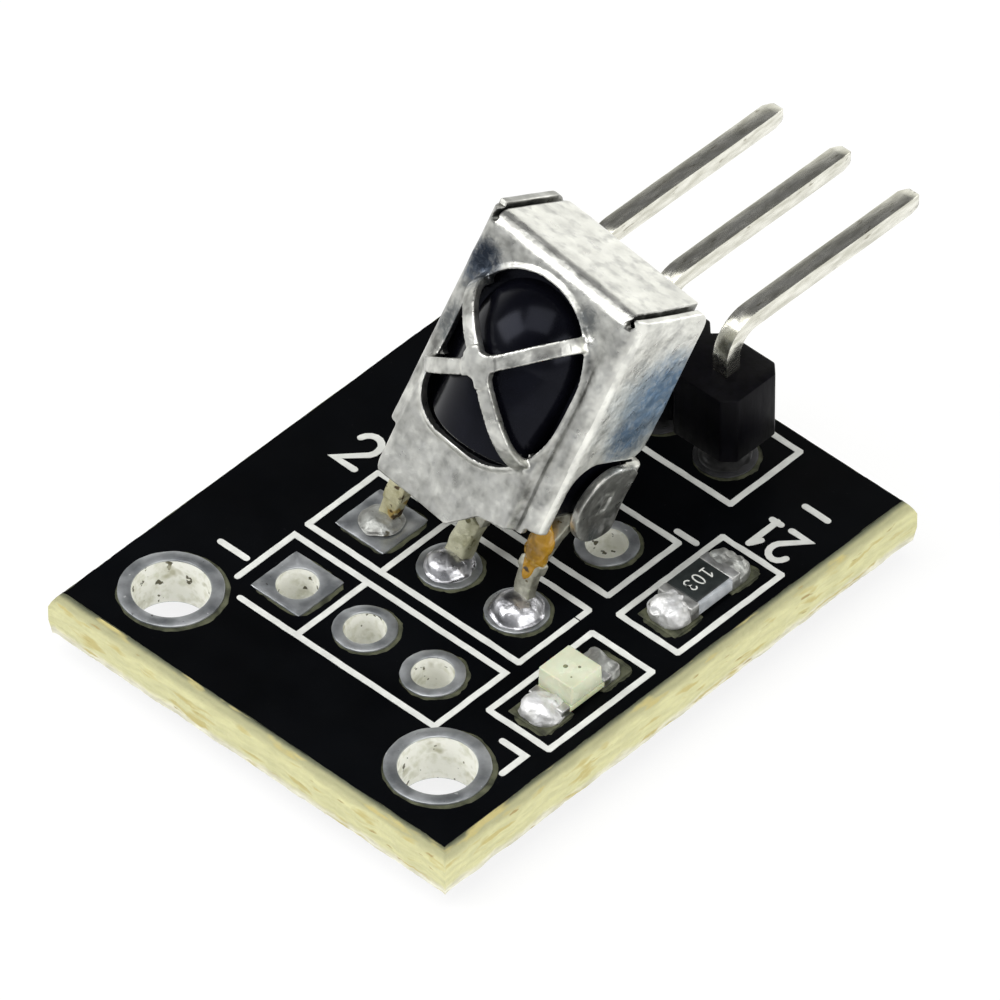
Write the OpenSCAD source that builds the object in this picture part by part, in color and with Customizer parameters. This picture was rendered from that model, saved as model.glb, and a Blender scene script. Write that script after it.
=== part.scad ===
// Infrared receiver module: a shielded three-lead receiver on a small drilled board,
// with a right-angle pin header, a chip resistor and a chip light.
// Millimetres. The origin is midway between the two mounting holes, on the underside of the board.
// +X runs from the left to the right mounting hole, +Y towards the header, +Z up.

/* [Board] */
// Width of the board over its broken edges
board_w = 14.9; // [13.8:0.1:18]
// Length of the board over its broken edges
board_l = 18.9; // [18.4:0.1:24]
// Thickness of the board
board_t = 1.5; // [1:0.1:2]
// How far the scored groove cuts into each edge, seen from above
groove_inset = 0.28; // [0.1:0.02:0.4]
// Height of the broken band between the two grooves
break_band = 0.5; // [0.2:0.05:0.8]
// Distance from the front edge to the mounting holes
front_margin = 2.4; // [2:0.1:4]
// Sideways shift of the board against the mounting holes
board_shift = 0.08; // [-0.2:0.02:0.2]

/* [Mounting holes] */
// From a side edge to the mounting hole beside it
side_margin = 2.45; // [2:0.05:2.8]
// Finished diameter of a mounting hole
mount_d = 2.2; // [1.8:0.1:2.4]
// Diameter of the plated ring round a mounting hole
mount_ring_d = 3.0; // [2.8:0.1:3.2]
// Thickness of the copper plating and of every pad
plate_t = 0.05; // [0.03:0.01:0.08]

/* [Hole rows] */
// Pitch of the holes, leads and pins
pitch = 2.54; // [2.5:0.01:2.6]
// Sideways shift of the hole rows against the mounting holes
row_shift = -0.08; // [-0.2:0.02:0.2]
// From the mounting holes to the spare front row
front_row_y = 2.5; // [2.3:0.1:2.8]
// From the mounting holes to the receiver's row
receiver_row_y = 5.84; // [5.4:0.02:6.2]
// From the mounting holes to the spare rear row
rear_row_y = 9.44; // [9:0.02:10]
// From the mounting holes to the header's row
header_row_y = 14.22; // [14:0.02:14.6]
// Finished diameter of a component hole
hole_d = 1.2; // [1.1:0.05:1.3]
// Finished diameter of a header hole
header_hole_d = 1.02; // [1:0.02:1.1]
// Diameter of a round pad, and side of a square one
pad_d = 1.86; // [1.7:0.02:2]

/* [Printed frames] */
// Width of a printed line
line_w = 0.19; // [0.12:0.01:0.25]
// Thickness of the printed ink
ink_t = 0.04; // [0.02:0.01:0.06]
// Length of a row's frame, between line centres
frame_l = 7.91; // [7.7:0.02:8.1]
// Depth of a row's frame, between line centres
frame_d = 2.82; // [2.6:0.02:2.9]
// Width of a chip part's frame, between line centres
chip_frame_w = 2.2; // [2:0.05:2.3]
// Length of a chip part's frame, between line centres
chip_frame_l = 4.14; // [4:0.02:4.3]

/* [Receiver shield] */
// Thickness of the shield's sheet
shield_t = 0.25; // [0.2:0.01:0.3]
// How much wider the shield is than the spacing of its two outer leads
shield_extra = 0.78; // [0.6:0.02:1.1]
// Depth of the shield from its front to its back face
shield_d = 3.5; // [3.3:0.05:3.9]
// Height of the shield's sides
shield_h = 7.05; // [6.8:0.05:7.5]
// Outer radius of the shield's folds
fold_r = 0.45; // [0.35:0.01:0.55]
// Width of the slits beside the top plate
slit_w = 0.12; // [0.08:0.01:0.18]
// How far the back edges of the sides stop short of the back face
side_short = 0.2; // [0.1:0.05:0.4]
// Length of the tongue below the sides
tongue_l = 1.35; // [0.8:0.05:1.5]
// Width of the tongue at its end
tongue_w = 2.8; // [2.4:0.1:3.2]

/* [Receiver grille] */
// Width of the lens opening
opening_w = 4.3; // [4.1:0.05:4.4]
// Height of the lens opening
opening_h = 5.6; // [5.4:0.05:5.9]
// From the top of the shield to the lens opening
opening_top = 0.7; // [0.6:0.02:0.8]
// Width of a crossing bar
bar_w = 0.43; // [0.3:0.01:0.55]
// How far the crossing bars bulge out
bar_rise = 1.4; // [1.3:0.05:1.6]
// Radius of the fillets where the bars cross
cross_fillet = 0.2; // [0.1:0.02:0.3]
// Height of the crossing below the top of the shield
cross_drop = 3.42; // [3.3:0.02:3.6]

/* [Receiver ears] */
// Diameter of the round ears
ear_d = 2.4; // [2:0.05:2.44]
// How far the ears stand out beyond the sides
ear_out = 0.15; // [0.12:0.01:0.3]
// Depth of the coined mark in an ear
mark_deep = 0.05; // [0.03:0.01:0.08]

/* [Receiver body and leads] */
// Radius of the moulded lens
lens_r = 1.95; // [1.8:0.05:2]
// How far the lens comes out of the shield
lens_rise = 1.0; // [0.8:0.02:1.05]
// From the top of the shield to the middle of the lens's round top
lens_top_drop = 2.85; // [2.8:0.05:3.1]
// From the top of the shield to the lens's flat foot
lens_foot_drop = 5.78; // [5.5:0.02:5.9]
// Gap between the lens and the edge of its opening
lens_gap = 0.2; // [0.16:0.01:0.3]
// Height of the moulded body
body_h = 6.4; // [6:0.1:6.5]
// Width of a lead
lead_w = 0.56; // [0.45:0.01:0.6]
// Thickness of a lead
lead_t = 0.4; // [0.3:0.01:0.45]
// Extra width of the trimmed stubs on a lead
stub_w = 0.1; // [0.05:0.01:0.15]
// Height of the shield's top above the board, along the lean
receiver_rise = 10.2; // [10:0.05:11]
// Backward lean of the receiver
lean = 28.5; // [20:0.5:32]
// Sideways lean of the receiver
roll = 6.56; // [0:0.1:8]
// Turn of the receiver on the board
yaw = 0.6; // [-2:0.1:2]
// From the centre of the receiver's row back to the leads
lead_back = 0.2; // [0:0.02:0.24]

/* [Header] */
// Depth of the header's body
header_d = 2.2; // [2.1:0.02:2.54]
// Height of the header's body
header_h = 2.3; // [2.2:0.02:2.6]
// Corner cut of the header's segments
header_cut = 0.34; // [0.3:0.02:0.6]
// How much each broken end of the header falls short of a full segment
header_trim = 0.13; // [0.05:0.01:0.2]
// Gap between the board and the header's body
header_lift = 1.0; // [0.5:0.02:1.2]
// Side of the square pins
pin_w = 0.54; // [0.5:0.01:0.66]
// Inner radius of the pins' bend
pin_bend_r = 0.65; // [0.4:0.05:0.8]
// Straight length between the body and the bend
pin_neck = 0.45; // [0.1:0.05:0.6]
// Reach of the pins behind the header's row
pin_reach = 7.65; // [6:0.05:9]
// Length of the tapered pin tips
tip_l = 0.4; // [0.2:0.05:0.6]
// Side of the flat end of a tip
tip_w = 0.36; // [0.2:0.02:0.46]

/* [Underside] */
// How far leads and pins come out below the board
tail_l = 0.8; // [0.7:0.05:1.2]

/* [Chip parts] */
// Length of the chip parts
chip_l = 2.0; // [1.9:0.05:2.1]
// Width of the chip parts
chip_w = 1.25; // [1.15:0.05:1.35]
// Height of the chip resistor
resistor_h = 0.5; // [0.4:0.05:0.6]
// Thickness of the resistor's dark coat
coat_t = 0.06; // [0.04:0.01:0.1]
// Thickness of a chip's end metal
cap_t = 0.05; // [0.03:0.01:0.08]
// Length of a chip's end metal
cap_l = 0.35; // [0.25:0.05:0.4]
// Height of the light's base
light_base_h = 0.3; // [0.25:0.05:0.4]
// Height of the light's clear block
block_h = 0.66; // [0.5:0.02:0.8]
// Length of the light's clear block
block_l = 1.24; // [1:0.02:1.3]
// Width of the chip parts' pads
chip_pad_w = 1.4; // [1.3:0.05:1.5]
// Length of the chip parts' pads
chip_pad_l = 1.15; // [1:0.05:1.2]
// Gap between the two pads under a chip part
chip_pad_gap = 1.15; // [1:0.05:1.3]
// From the right edge to the middle of the chip parts
chip_margin = 1.88; // [1.75:0.01:2.1]
// From the mounting holes to the middle of the light
light_y = 4.55; // [4.45:0.05:4.65]
// From the mounting holes to the middle of the resistor
resistor_y = 9.7; // [9.6:0.05:9.9]

/* [Hidden] */

// small circles and large ones
fn_hole = 20;
fn_fold = 24;
fn_dome = 40;
// reach of a cut beyond the solid that it cuts
over = 1;

// board
board_top = board_t;
pad_top = board_top + plate_t;
board_back_y = board_l - front_margin;
board_front_y = -front_margin;
groove_h = (board_t - break_band) / 2;
hole_r = hole_d / 2;
header_hole_r = header_hole_d / 2;
mount_r = mount_d / 2;
mount_spacing = board_w - 2 * side_margin;

// receiver frame: origin on the board's top at the middle lead, y back through the shield, z up the leads
receiver_pos = [row_shift, receiver_row_y + lead_back, board_top];
// how far behind the middle of the shield's depth the leads stand
lead_set_back = 0.1;
shield_w = 2 * pitch + shield_extra;
shield_top = receiver_rise;
shield_foot = shield_top - shield_h;
lead_depth = shield_d / 2 + lead_set_back;
front_y = -lead_depth;
inner_y = front_y + shield_t;
back_y = front_y + shield_d;
back_inner_y = back_y - shield_t;
side_back_y = back_y - side_short;
half_w = shield_w / 2;
inner_half = half_w - shield_t;
top_half = inner_half - slit_w;
slit_mid = top_half + slit_w / 2;
fold_in_r = fold_r - shield_t;
slit_drop = shield_t + 0.02;
side_drop = 0.06;
relief_r = slit_w;
corner_r = 0.5;

// side cut-outs and ears
cut_top = 4.85;
cut_front = 0.55;
cut_r = 0.9;
ear_drop = 0.16;
ear_mid_y = back_y - ear_d * 0.42;
ear_mid_z = shield_top - cut_top - ear_d / 2 - ear_drop;
ear_half = half_w + ear_out;
ear_fold_r = 0.35;
mark_l = 0.5;
mark_w = 0.28;

// tongue under the front plate
tongue_left = fold_r;
tongue_foot = shield_foot - tongue_l;
tongue_step = tongue_l * 0.6;

// lens opening: its middle, its rounded foot at the left and at the right
opening_x = -0.09;
opening_r = opening_w / 2;
opening_left_r = 1.2;
opening_right_r = 2.1;
window_r = 0.12;

// crossing bars: the turn of each and how far beyond half the opening's width it meets the plate
cross_x = -0.22;
cross_z = shield_top - cross_drop;
bars = [[142, 0.29], [44.5, 0.57], [214, 0.41], [-46.5, 0.78]];
hub_r = 0.6;
hub_proud = 0.02;
arch_steps = 12;

// moulded body, inside the shield
body_front_y = inner_y + 0.1;
body_top_z = shield_top - fold_r - 0.05;
body_foot_z = body_top_z - body_h;
body_corner_r = 0.35;
lens_y = front_y - lens_rise + lens_r;

// lead frame
chip_big = 1.5;
chip_small = 1.1;
chip_t = 0.3;
chip_edge = 0.2;
chip_gap = 0.4;
frame_side = 0.55;
frame_w = chip_big + 2 * frame_side;
frame_h = chip_big + chip_gap + chip_small + 2 * chip_edge;
frame_top_z = cross_z + chip_edge + chip_big * 0.73;
stub_z = 1.45;
stub_h = 0.3;
lead_in = 0.9;
lead_root_w = 0.32;
root_mid = pitch - (lead_w - lead_root_w) / 2;

// header
header_foot_z = board_top + header_lift;
header_top_z = header_foot_z + header_h;
pin_mid_r = pin_bend_r + pin_w / 2;
run_z = header_top_z + pin_neck + pin_mid_r;
run_end = pin_reach - tip_l;

// solder
lead_cone_r = 0.78;
lead_cone_h = 0.42;
lead_neck_r = 0.36;
pin_neck_r = pin_w * 0.74;
cone_edge = 0.06;

// chip parts
chip_foot_z = pad_top;
chip_end_r = chip_pad_gap / 2 + chip_pad_l;
chip_mid_x = board_shift + board_w / 2 - chip_margin;
die_w = 0.3;
die_h = 0.15;
coat_l = chip_l - 2 * cap_l;

module circuit_board() {
    color("#15171c")
    difference() {
        board_blank();
        for (side = [-1, 1])
            translate([side * mount_spacing / 2, 0, 0]) through(mount_r + plate_t);
        for (row = [front_row_y, receiver_row_y, rear_row_y])
            for (k = [-1:1])
                translate([row_shift + k * pitch, row, 0]) through(hole_r + plate_t);
        for (k = [-1:1])
            translate([row_shift + k * pitch, header_row_y, 0]) through(header_hole_r + plate_t);
    }
}

// both grooved outlines, one along each way of the board
module board_blank() {
    intersection() {
        translate([board_shift, board_back_y, 0])
            rotate([90, 0, 0]) linear_extrude(board_l) grooved_outline(board_w);
        translate([board_shift - board_w / 2, (board_back_y + board_front_y) / 2, 0])
            rotate([90, 0, 90]) linear_extrude(board_w) grooved_outline(board_l);
    }
}

module grooved_outline(w) {
    h = w / 2;
    polygon([
        [-h + groove_inset, 0], [h - groove_inset, 0],
        [h, groove_h], [h, groove_h + break_band],
        [h - groove_inset, board_t], [-h + groove_inset, board_t],
        [-h, groove_h + break_band], [-h, groove_h]
    ]);
}

module through(r) {
    translate([0, 0, -over]) cylinder(r = r, h = board_t + 2 * over, $fn = fn_hole);
}

// copper lining of a round hole with a round pad on both faces
module lining(r, pad_r) {
    rotate_extrude($fn = fn_hole) {
        translate([r, -plate_t]) square([plate_t, board_t + 2 * plate_t]);
        translate([r, board_t]) square([pad_r - r, plate_t]);
        translate([r, -plate_t]) square([pad_r - r, plate_t]);
    }
}

// the first hole of a row has a square pad on both faces
module square_lining(r, side) {
    difference() {
        union() {
            translate([0, 0, -plate_t]) cylinder(r = r + plate_t, h = board_t + 2 * plate_t, $fn = fn_hole);
            translate([-side / 2, -side / 2, board_t]) cube([side, side, plate_t]);
            translate([-side / 2, -side / 2, -plate_t]) cube([side, side, plate_t]);
        }
        translate([0, 0, -over]) cylinder(r = r, h = board_t + 2 * over, $fn = fn_hole);
    }
}

module mount_ring(side) {
    color("silver") translate([side * mount_spacing / 2, 0, 0]) lining(mount_r, mount_ring_d / 2);
}

module row_hole(row, k, r) {
    color("silver") translate([row_shift + k * pitch, row, 0])
        if (k < 0) square_lining(r, pad_d);
        else lining(r, pad_d / 2);
}

module mount_ring_left() { mount_ring(-1); }
module mount_ring_right() { mount_ring(1); }
module front_hole_left() { row_hole(front_row_y, -1, hole_r); }
module front_hole_middle() { row_hole(front_row_y, 0, hole_r); }
module front_hole_right() { row_hole(front_row_y, 1, hole_r); }
module receiver_hole_left() { row_hole(receiver_row_y, -1, hole_r); }
module receiver_hole_middle() { row_hole(receiver_row_y, 0, hole_r); }
module receiver_hole_right() { row_hole(receiver_row_y, 1, hole_r); }
module rear_hole_left() { row_hole(rear_row_y, -1, hole_r); }
module rear_hole_middle() { row_hole(rear_row_y, 0, hole_r); }
module rear_hole_right() { row_hole(rear_row_y, 1, hole_r); }
module header_hole_left() { row_hole(header_row_y, -1, header_hole_r); }
module header_hole_middle() { row_hole(header_row_y, 0, header_hole_r); }
module header_hole_right() { row_hole(header_row_y, 1, header_hole_r); }

// a printed box of lines round a centre
module line_box(w, d) {
    difference() {
        square([w + line_w, d + line_w], center = true);
        square([w - line_w, d - line_w], center = true);
    }
}

module line_bar(w, d) {
    square([w, d], center = true);
}

module printed_frames() {
    color("white")
    translate([0, 0, board_top])
    linear_extrude(ink_t)
    difference() {
        union() {
            for (row = [front_row_y, receiver_row_y, rear_row_y, header_row_y])
                translate([row_shift, row]) line_box(frame_l, frame_d);
            for (row = [front_row_y, receiver_row_y])
                translate([row_shift - pitch / 2 + 0.07, row]) line_bar(line_w, frame_d);
            for (mid = [light_y, resistor_y])
                translate([chip_mid_x, mid]) line_box(chip_frame_w, chip_frame_l);
        }
        for (side = [-1, 1])
            translate([side * mount_spacing / 2, 0]) circle(r = mount_ring_d / 2 + 0.12, $fn = fn_hole);
        // the ink keeps off the pads
        for (row = [front_row_y, receiver_row_y, rear_row_y, header_row_y])
            for (k = [-1:1])
                translate([row_shift + k * pitch, row]) square(pad_d, center = true);
        for (mid = [light_y, resistor_y])
            translate([chip_mid_x, mid]) square([chip_pad_w, 2 * chip_end_r], center = true);
    }
}

// places its children in the leaning frame of the receiver
module in_receiver() {
    translate(receiver_pos) rotate([0, 0, yaw]) rotate([-lean, 0, 0]) rotate([0, roll, 0]) children();
}

module receiver_shield() {
    color("lightgray") in_receiver() {
        difference() {
            union() {
                folded_sides();
                top_and_back();
                front_tongue();
            }
            lens_opening();
            for (side = [-1, 1]) {
                translate([side * slit_mid, front_y - over, shield_top - slit_drop])
                    rotate([-90, 0, 0]) cylinder(r = relief_r, h = over + fold_r, $fn = fn_hole);
            }
        }
        ears();
        crossing_bars();
    }
}

// plan of the front plate and the two sides, with rounded front folds
module fold_plan(half, front, back, r) {
    translate([-half + r, front]) square([2 * (half - r), back - front]);
    translate([-half, front + r]) square([2 * half, back - front - r]);
    for (side = [-1, 1])
        translate([side * (half - r), front + r]) circle(r = r, $fn = fn_fold);
}

module folded_sides() {
    difference() {
        intersection() {
            translate([0, 0, shield_foot]) linear_extrude(shield_h - side_drop) difference() {
                fold_plan(half_w, front_y, side_back_y, fold_r);
                fold_plan(inner_half, inner_y, side_back_y + over, fold_in_r);
            }
            rotate([90, 0, 90]) translate([0, 0, -shield_w]) linear_extrude(2 * shield_w) side_outline();
        }
        // room for the fold between the front and the top plate
        translate([-top_half, front_y - over, shield_top - fold_r])
            cube([2 * top_half, over + fold_r, fold_r + over]);
        for (side = [-1, 1])
            translate([side * slit_mid - slit_w / 2, front_y - over, shield_top - slit_drop])
                cube([slit_w, shield_d + 2 * over, slit_drop + over]);
        rotate([90, 0, 90]) translate([0, 0, -shield_w]) linear_extrude(2 * shield_w) side_cut();
    }
}

// the sides seen from the side: rounded corners at the back
module side_outline() {
    foot = shield_foot - over;
    translate([front_y - over, foot]) square([side_back_y - corner_r - front_y + over, shield_top - foot]);
    translate([front_y, shield_top - cut_top + corner_r])
        square([side_back_y - front_y, cut_top - 2 * corner_r]);
    for (z = [shield_top - side_drop - corner_r, shield_top - cut_top + corner_r])
        translate([side_back_y - corner_r, z]) circle(r = corner_r, $fn = fn_fold);
}

// the cut-out under each side, with a round corner
module side_cut() {
    y0 = front_y + cut_front;
    z1 = shield_top - cut_top;
    translate([y0 + cut_r, z1 - 2 * shield_h]) square([shield_d, 2 * shield_h]);
    translate([y0, z1 - cut_r - 2 * shield_h]) square([shield_d, 2 * shield_h]);
    translate([y0 + cut_r, z1 - cut_r]) circle(r = cut_r, $fn = fn_fold);
}

// top plate with a fold at the front, and the back plate below its rear fold
module top_and_back() {
    intersection() {
        rotate([90, 0, 90]) translate([0, 0, -top_half]) linear_extrude(2 * top_half) difference() {
            arch_outline(front_y, back_y, shield_top, fold_r, shield_foot);
            arch_outline(inner_y, back_inner_y, shield_top - shield_t, fold_in_r, shield_foot - over);
            translate([front_y - over, shield_foot - over])
                square([over + fold_r, shield_h + over - fold_r]);
        }
        translate([0, 0, shield_foot - over]) linear_extrude(shield_h + 2 * over) back_plan();
    }
}

module arch_outline(y0, y1, z1, r, z0) {
    translate([y0, z0]) square([y1 - y0, z1 - r - z0]);
    translate([y0 + r, z0]) square([y1 - y0 - 2 * r, z1 - z0]);
    for (y = [y0 + r, y1 - r])
        translate([y, z1 - r]) circle(r = r, $fn = fn_fold);
}

// the top plate seen from above: rounded corners at the back
module back_plan() {
    back_r = 0.6;
    translate([-top_half, front_y - over]) square([2 * top_half, shield_d - back_r + over]);
    translate([-top_half + back_r, front_y]) square([2 * (top_half - back_r), shield_d]);
    for (side = [-1, 1])
        translate([side * (top_half - back_r), back_y - back_r]) circle(r = back_r, $fn = fn_fold);
}

// front plate below the folds: a tongue at the left, stepped up to the right
module front_tongue() {
    left = -half_w + tongue_left;
    right = half_w - fold_r;
    end_x = left + tongue_w;
    rise_x = end_x + tongue_step;
    rotate([90, 0, 0]) translate([0, 0, -inner_y]) linear_extrude(shield_t) polygon([
        [left, shield_foot + fold_r],
        [left, tongue_foot + 0.3],
        [left + 0.2, tongue_foot],
        [end_x, tongue_foot],
        [rise_x, tongue_foot + tongue_step],
        [right, shield_foot - 0.2],
        [right, shield_foot + fold_r]
    ]);
}

module lens_opening() {
    rotate([90, 0, 0]) translate([0, 0, -inner_y - 0.3]) linear_extrude(shield_t + 0.3 + over)
        difference() {
            opening_outline(0);
            corner_webs();
        }
}

// round top, and a foot with a tighter corner at the left than at the right
module opening_outline(inset) {
    r = opening_r - inset;
    left_r = opening_left_r - inset;
    right_r = opening_right_r - inset;
    top_z = shield_top - opening_top - opening_r;
    foot_z = shield_top - opening_top - opening_h + inset;
    translate([opening_x, 0]) {
        translate([0, top_z]) circle(r = r, $fn = fn_dome);
        translate([-r, foot_z + left_r]) square([r, top_z - foot_z - left_r]);
        translate([0, foot_z + right_r]) square([r, top_z - foot_z - right_r]);
        translate([-r + left_r, foot_z]) square([2 * r - left_r - right_r, top_z - foot_z]);
        translate([-r + left_r, foot_z + left_r]) circle(r = left_r, $fn = fn_dome);
        translate([r - right_r, foot_z + right_r]) circle(r = right_r, $fn = fn_dome);
    }
}

// the four windows between the bars
module window_outline() {
    difference() {
        opening_outline(0);
        translate([cross_x, cross_z]) bar_star();
    }
}

// small rounded webs in the windows' corners, where the bars meet the plate
module corner_webs() {
    difference() {
        window_outline();
        offset(r = window_r) offset(r = -window_r) window_outline();
        translate([cross_x, cross_z]) circle(r = opening_r * 0.7, $fn = fn_fold);
    }
}

// four bars, each arched from the crossing down into the plate
module crossing_bars() {
    translate([cross_x, front_y, cross_z]) rotate([90, 0, 0]) {
        for (bar = bars)
            intersection() {
                arch_shell(opening_r + bar[1], bar_rise);
                translate([0, 0, -shield_t]) linear_extrude(shield_t + bar_rise + over)
                    bar_outline(bar[0], hub_r * 0.6);
            }
        intersection() {
            arch_shell(2 * opening_r, bar_rise + hub_proud);
            linear_extrude(bar_rise + over) intersection() {
                circle(r = hub_r, $fn = fn_fold);
                offset(r = -cross_fillet) offset(delta = cross_fillet + hub_proud) bar_star();
            }
        }
    }
}

// sheet revolved round the crossing: an elliptical dome with a straight foot through the plate
module arch_shell(reach, rise) {
    rotate_extrude($fn = fn_dome) polygon(concat(
        [[reach, -shield_t]],
        [for (i = [0:arch_steps]) arch_point(reach, rise, i)],
        [for (i = [arch_steps:-1:0]) arch_point(reach - shield_t, rise - shield_t, i)],
        [[reach - shield_t, -shield_t]]
    ));
}

function arch_point(across, rise, i) =
    [across * cos(90 * i / arch_steps), rise * sin(90 * i / arch_steps)];

// one bar, from a start near the crossing to beyond the plate's edge
module bar_outline(turn, start) {
    rotate(turn) translate([start, -bar_w / 2]) square([2 * opening_r, bar_w]);
}

module bar_star() {
    for (bar = bars)
        bar_outline(bar[0], 0);
}

// the back plate carries a round ear round each side
module ears() {
    for (side = [0, 1])
        mirror([side, 0, 0]) difference() {
            intersection() {
                translate([0, 0, ear_mid_z - ear_d / 2]) linear_extrude(ear_d) difference() {
                    ear_plan(ear_half, back_y, ear_fold_r);
                    ear_plan(ear_half - shield_t, back_inner_y, ear_fold_r - shield_t);
                }
                rotate([90, 0, 90]) linear_extrude(2 * ear_half) {
                    translate([ear_mid_y, ear_mid_z]) circle(r = ear_d / 2, $fn = fn_dome);
                    translate([ear_mid_y, ear_mid_z - ear_d * 0.3]) square([shield_d, ear_d * 0.8]);
                }
            }
            translate([ear_half - mark_deep, ear_mid_y - mark_w / 2, ear_mid_z - mark_l / 2])
                cube([over, mark_w, mark_l]);
        }
}

// half of the plan: back plate from the middle out, folded forward along the side
module ear_plan(half, back, r) {
    translate([0, back - ear_d * 1.2]) square([half - r, ear_d * 1.2]);
    translate([0, back - ear_d * 1.2]) square([half, ear_d * 1.2 - r]);
    translate([half - r, back - r]) circle(r = r, $fn = fn_fold);
}

module receiver_body() {
    color("#101014") difference() {
        in_receiver() union() {
            translate([0, 0, body_foot_z]) linear_extrude(body_h)
                fold_plan(inner_half, body_front_y, back_inner_y, body_corner_r);
            intersection() {
                lens_bullet();
                rotate([90, 0, 0]) translate([0, 0, -body_front_y - 0.1])
                    linear_extrude(body_front_y - front_y + 2 * lens_rise) opening_outline(lens_gap);
            }
        }
        for (k = [-1:1]) lead_shape(k);
        in_receiver() chip_blocks();
    }
}

// an upright half-round lens with a ball-shaped top and a flat foot
module lens_bullet() {
    translate([opening_x, lens_y, shield_top - lens_top_drop]) sphere(r = lens_r, $fn = fn_dome);
    translate([opening_x, lens_y, shield_top - lens_foot_drop])
        cylinder(r = lens_r, h = lens_foot_drop - lens_top_drop, $fn = fn_dome);
}

module chip_blocks() {
    photodiode_block();
    amplifier_block();
}

module photodiode_block() {
    translate([-chip_big / 2, -lead_t / 2 - chip_t, frame_top_z - chip_edge - chip_big])
        cube([chip_big, chip_t, chip_big]);
}

module amplifier_block() {
    translate([-chip_small / 2, -lead_t / 2 - chip_t, frame_top_z - frame_h + chip_edge])
        cube([chip_small, chip_t, chip_small]);
}

module photodiode_chip() { color("slategray") in_receiver() photodiode_block(); }
module amplifier_chip() { color("dimgray") in_receiver() amplifier_block(); }

// one strip from below the board up into the body; the middle one carries the chips
module lead_shape(k) {
    in_receiver() {
        translate([k * pitch - lead_w / 2, -lead_t / 2, -lead_t / 2])
            cube([lead_w, lead_t, body_foot_z + lead_t / 2]);
        // the narrow root inside the body, flush with the lead's inner edge
        translate([k * root_mid - lead_root_w / 2, -lead_t / 2, body_foot_z - lead_t / 2])
            cube([lead_root_w, lead_t, lead_in + lead_t / 2]);
        translate([k * pitch - lead_w / 2 - stub_w, -lead_t / 2, stub_z])
            cube([lead_w + 2 * stub_w, lead_t, stub_h]);
        if (k == 0) {
            translate([-lead_w / 2, -lead_t / 2, body_foot_z])
                cube([lead_w, lead_t, frame_top_z - frame_h - body_foot_z + lead_in]);
            translate([-frame_w / 2, -lead_t / 2, frame_top_z - frame_h]) cube([frame_w, lead_t, frame_h]);
        }
    }
    tail_top = board_top + plate_t;
    translate([receiver_pos[0] + k * pitch - lead_w / 2, receiver_pos[1] - lead_t / 2, -tail_l])
        cube([lead_w, lead_t, tail_top + tail_l]);
}

module receiver_lead_left() { color("gainsboro") lead_shape(-1); }
module receiver_lead_middle() { color("gainsboro") lead_shape(0); }
module receiver_lead_right() { color("gainsboro") lead_shape(1); }

// solder that fills a plated hole and rises to a cone on both faces
module solder_cone(r, top_r, top_h, neck_r) {
    rotate_extrude($fn = fn_hole) polygon([
        [0, -tail_l * 0.75], [neck_r * 0.8, -tail_l * 0.75],
        [top_r * 0.62, -plate_t - tail_l * 0.3],
        [top_r, -plate_t - cone_edge / 2], [top_r, -plate_t],
        [r, -plate_t], [r, pad_top], [top_r, pad_top],
        [top_r, pad_top + cone_edge], [(top_r + neck_r) / 2, pad_top + top_h * 0.5],
        [neck_r, pad_top + top_h], [0, pad_top + top_h]
    ]);
}

module lead_solder(k) {
    color("whitesmoke") difference() {
        translate([row_shift + k * pitch, receiver_row_y, 0])
            solder_cone(hole_r, lead_cone_r, lead_cone_h, lead_neck_r);
        lead_shape(k);
    }
}

module lead_solder_left() { lead_solder(-1); }
module lead_solder_middle() { lead_solder(0); }
module lead_solder_right() { lead_solder(1); }

module header_body() {
    color("#1b1b1e") difference() {
        translate([row_shift, header_row_y, header_foot_z]) linear_extrude(header_h)
            for (k = [-1:1]) translate([k * pitch, 0]) cut_segment(k);
        for (k = [-1:1]) pin_leg(k);
    }
}

// one eight-sided segment of the header; the outer ones are broken off a little short
module cut_segment(k) {
    left = -pitch / 2 + (k < 0 ? header_trim : 0);
    right = pitch / 2 - (k > 0 ? header_trim : 0);
    hd = header_d / 2;
    c = header_cut;
    polygon([
        [left + c, -hd], [right - c, -hd], [right, -hd + c], [right, hd - c],
        [right - c, hd], [left + c, hd], [left, hd - c], [left, -hd + c]
    ]);
}

module pin_leg(k) {
    translate([row_shift + k * pitch - pin_w / 2, header_row_y - pin_w / 2, -tail_l])
        cube([pin_w, pin_w, header_top_z + pin_neck + tail_l]);
}

// leg, quarter bend, level run and tapered tip
module pin_shape(k) {
    pin_leg(k);
    translate([row_shift + k * pitch, header_row_y, 0]) {
        translate([-pin_w / 2, pin_mid_r, header_top_z + pin_neck]) rotate([90, 0, 90]) linear_extrude(pin_w)
            difference() {
                circle(r = pin_bend_r + pin_w, $fn = 2 * fn_fold);
                circle(r = pin_bend_r, $fn = 2 * fn_fold);
                translate([0, -over - pin_reach]) square([2 * pin_reach, 2 * pin_reach + 2 * over]);
                translate([-pin_reach, -2 * pin_reach]) square([2 * pin_reach, 2 * pin_reach]);
            }
        intersection() {
            translate([-pin_w / 2, pin_mid_r, run_z - pin_w / 2])
                cube([pin_w, pin_reach - pin_mid_r, pin_w]);
            rotate([90, 0, 90]) translate([0, run_z, -over]) linear_extrude(2 * over) tip_outline();
            translate([0, 0, run_z - over]) linear_extrude(2 * over) rotate(90) mirror([0, 1]) tip_outline();
        }
    }
}

// a bar that narrows at its far end
module tip_outline() {
    polygon([
        [0, -pin_w / 2], [run_end, -pin_w / 2], [pin_reach, -tip_w / 2],
        [pin_reach, tip_w / 2], [run_end, pin_w / 2], [0, pin_w / 2]
    ]);
}

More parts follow.
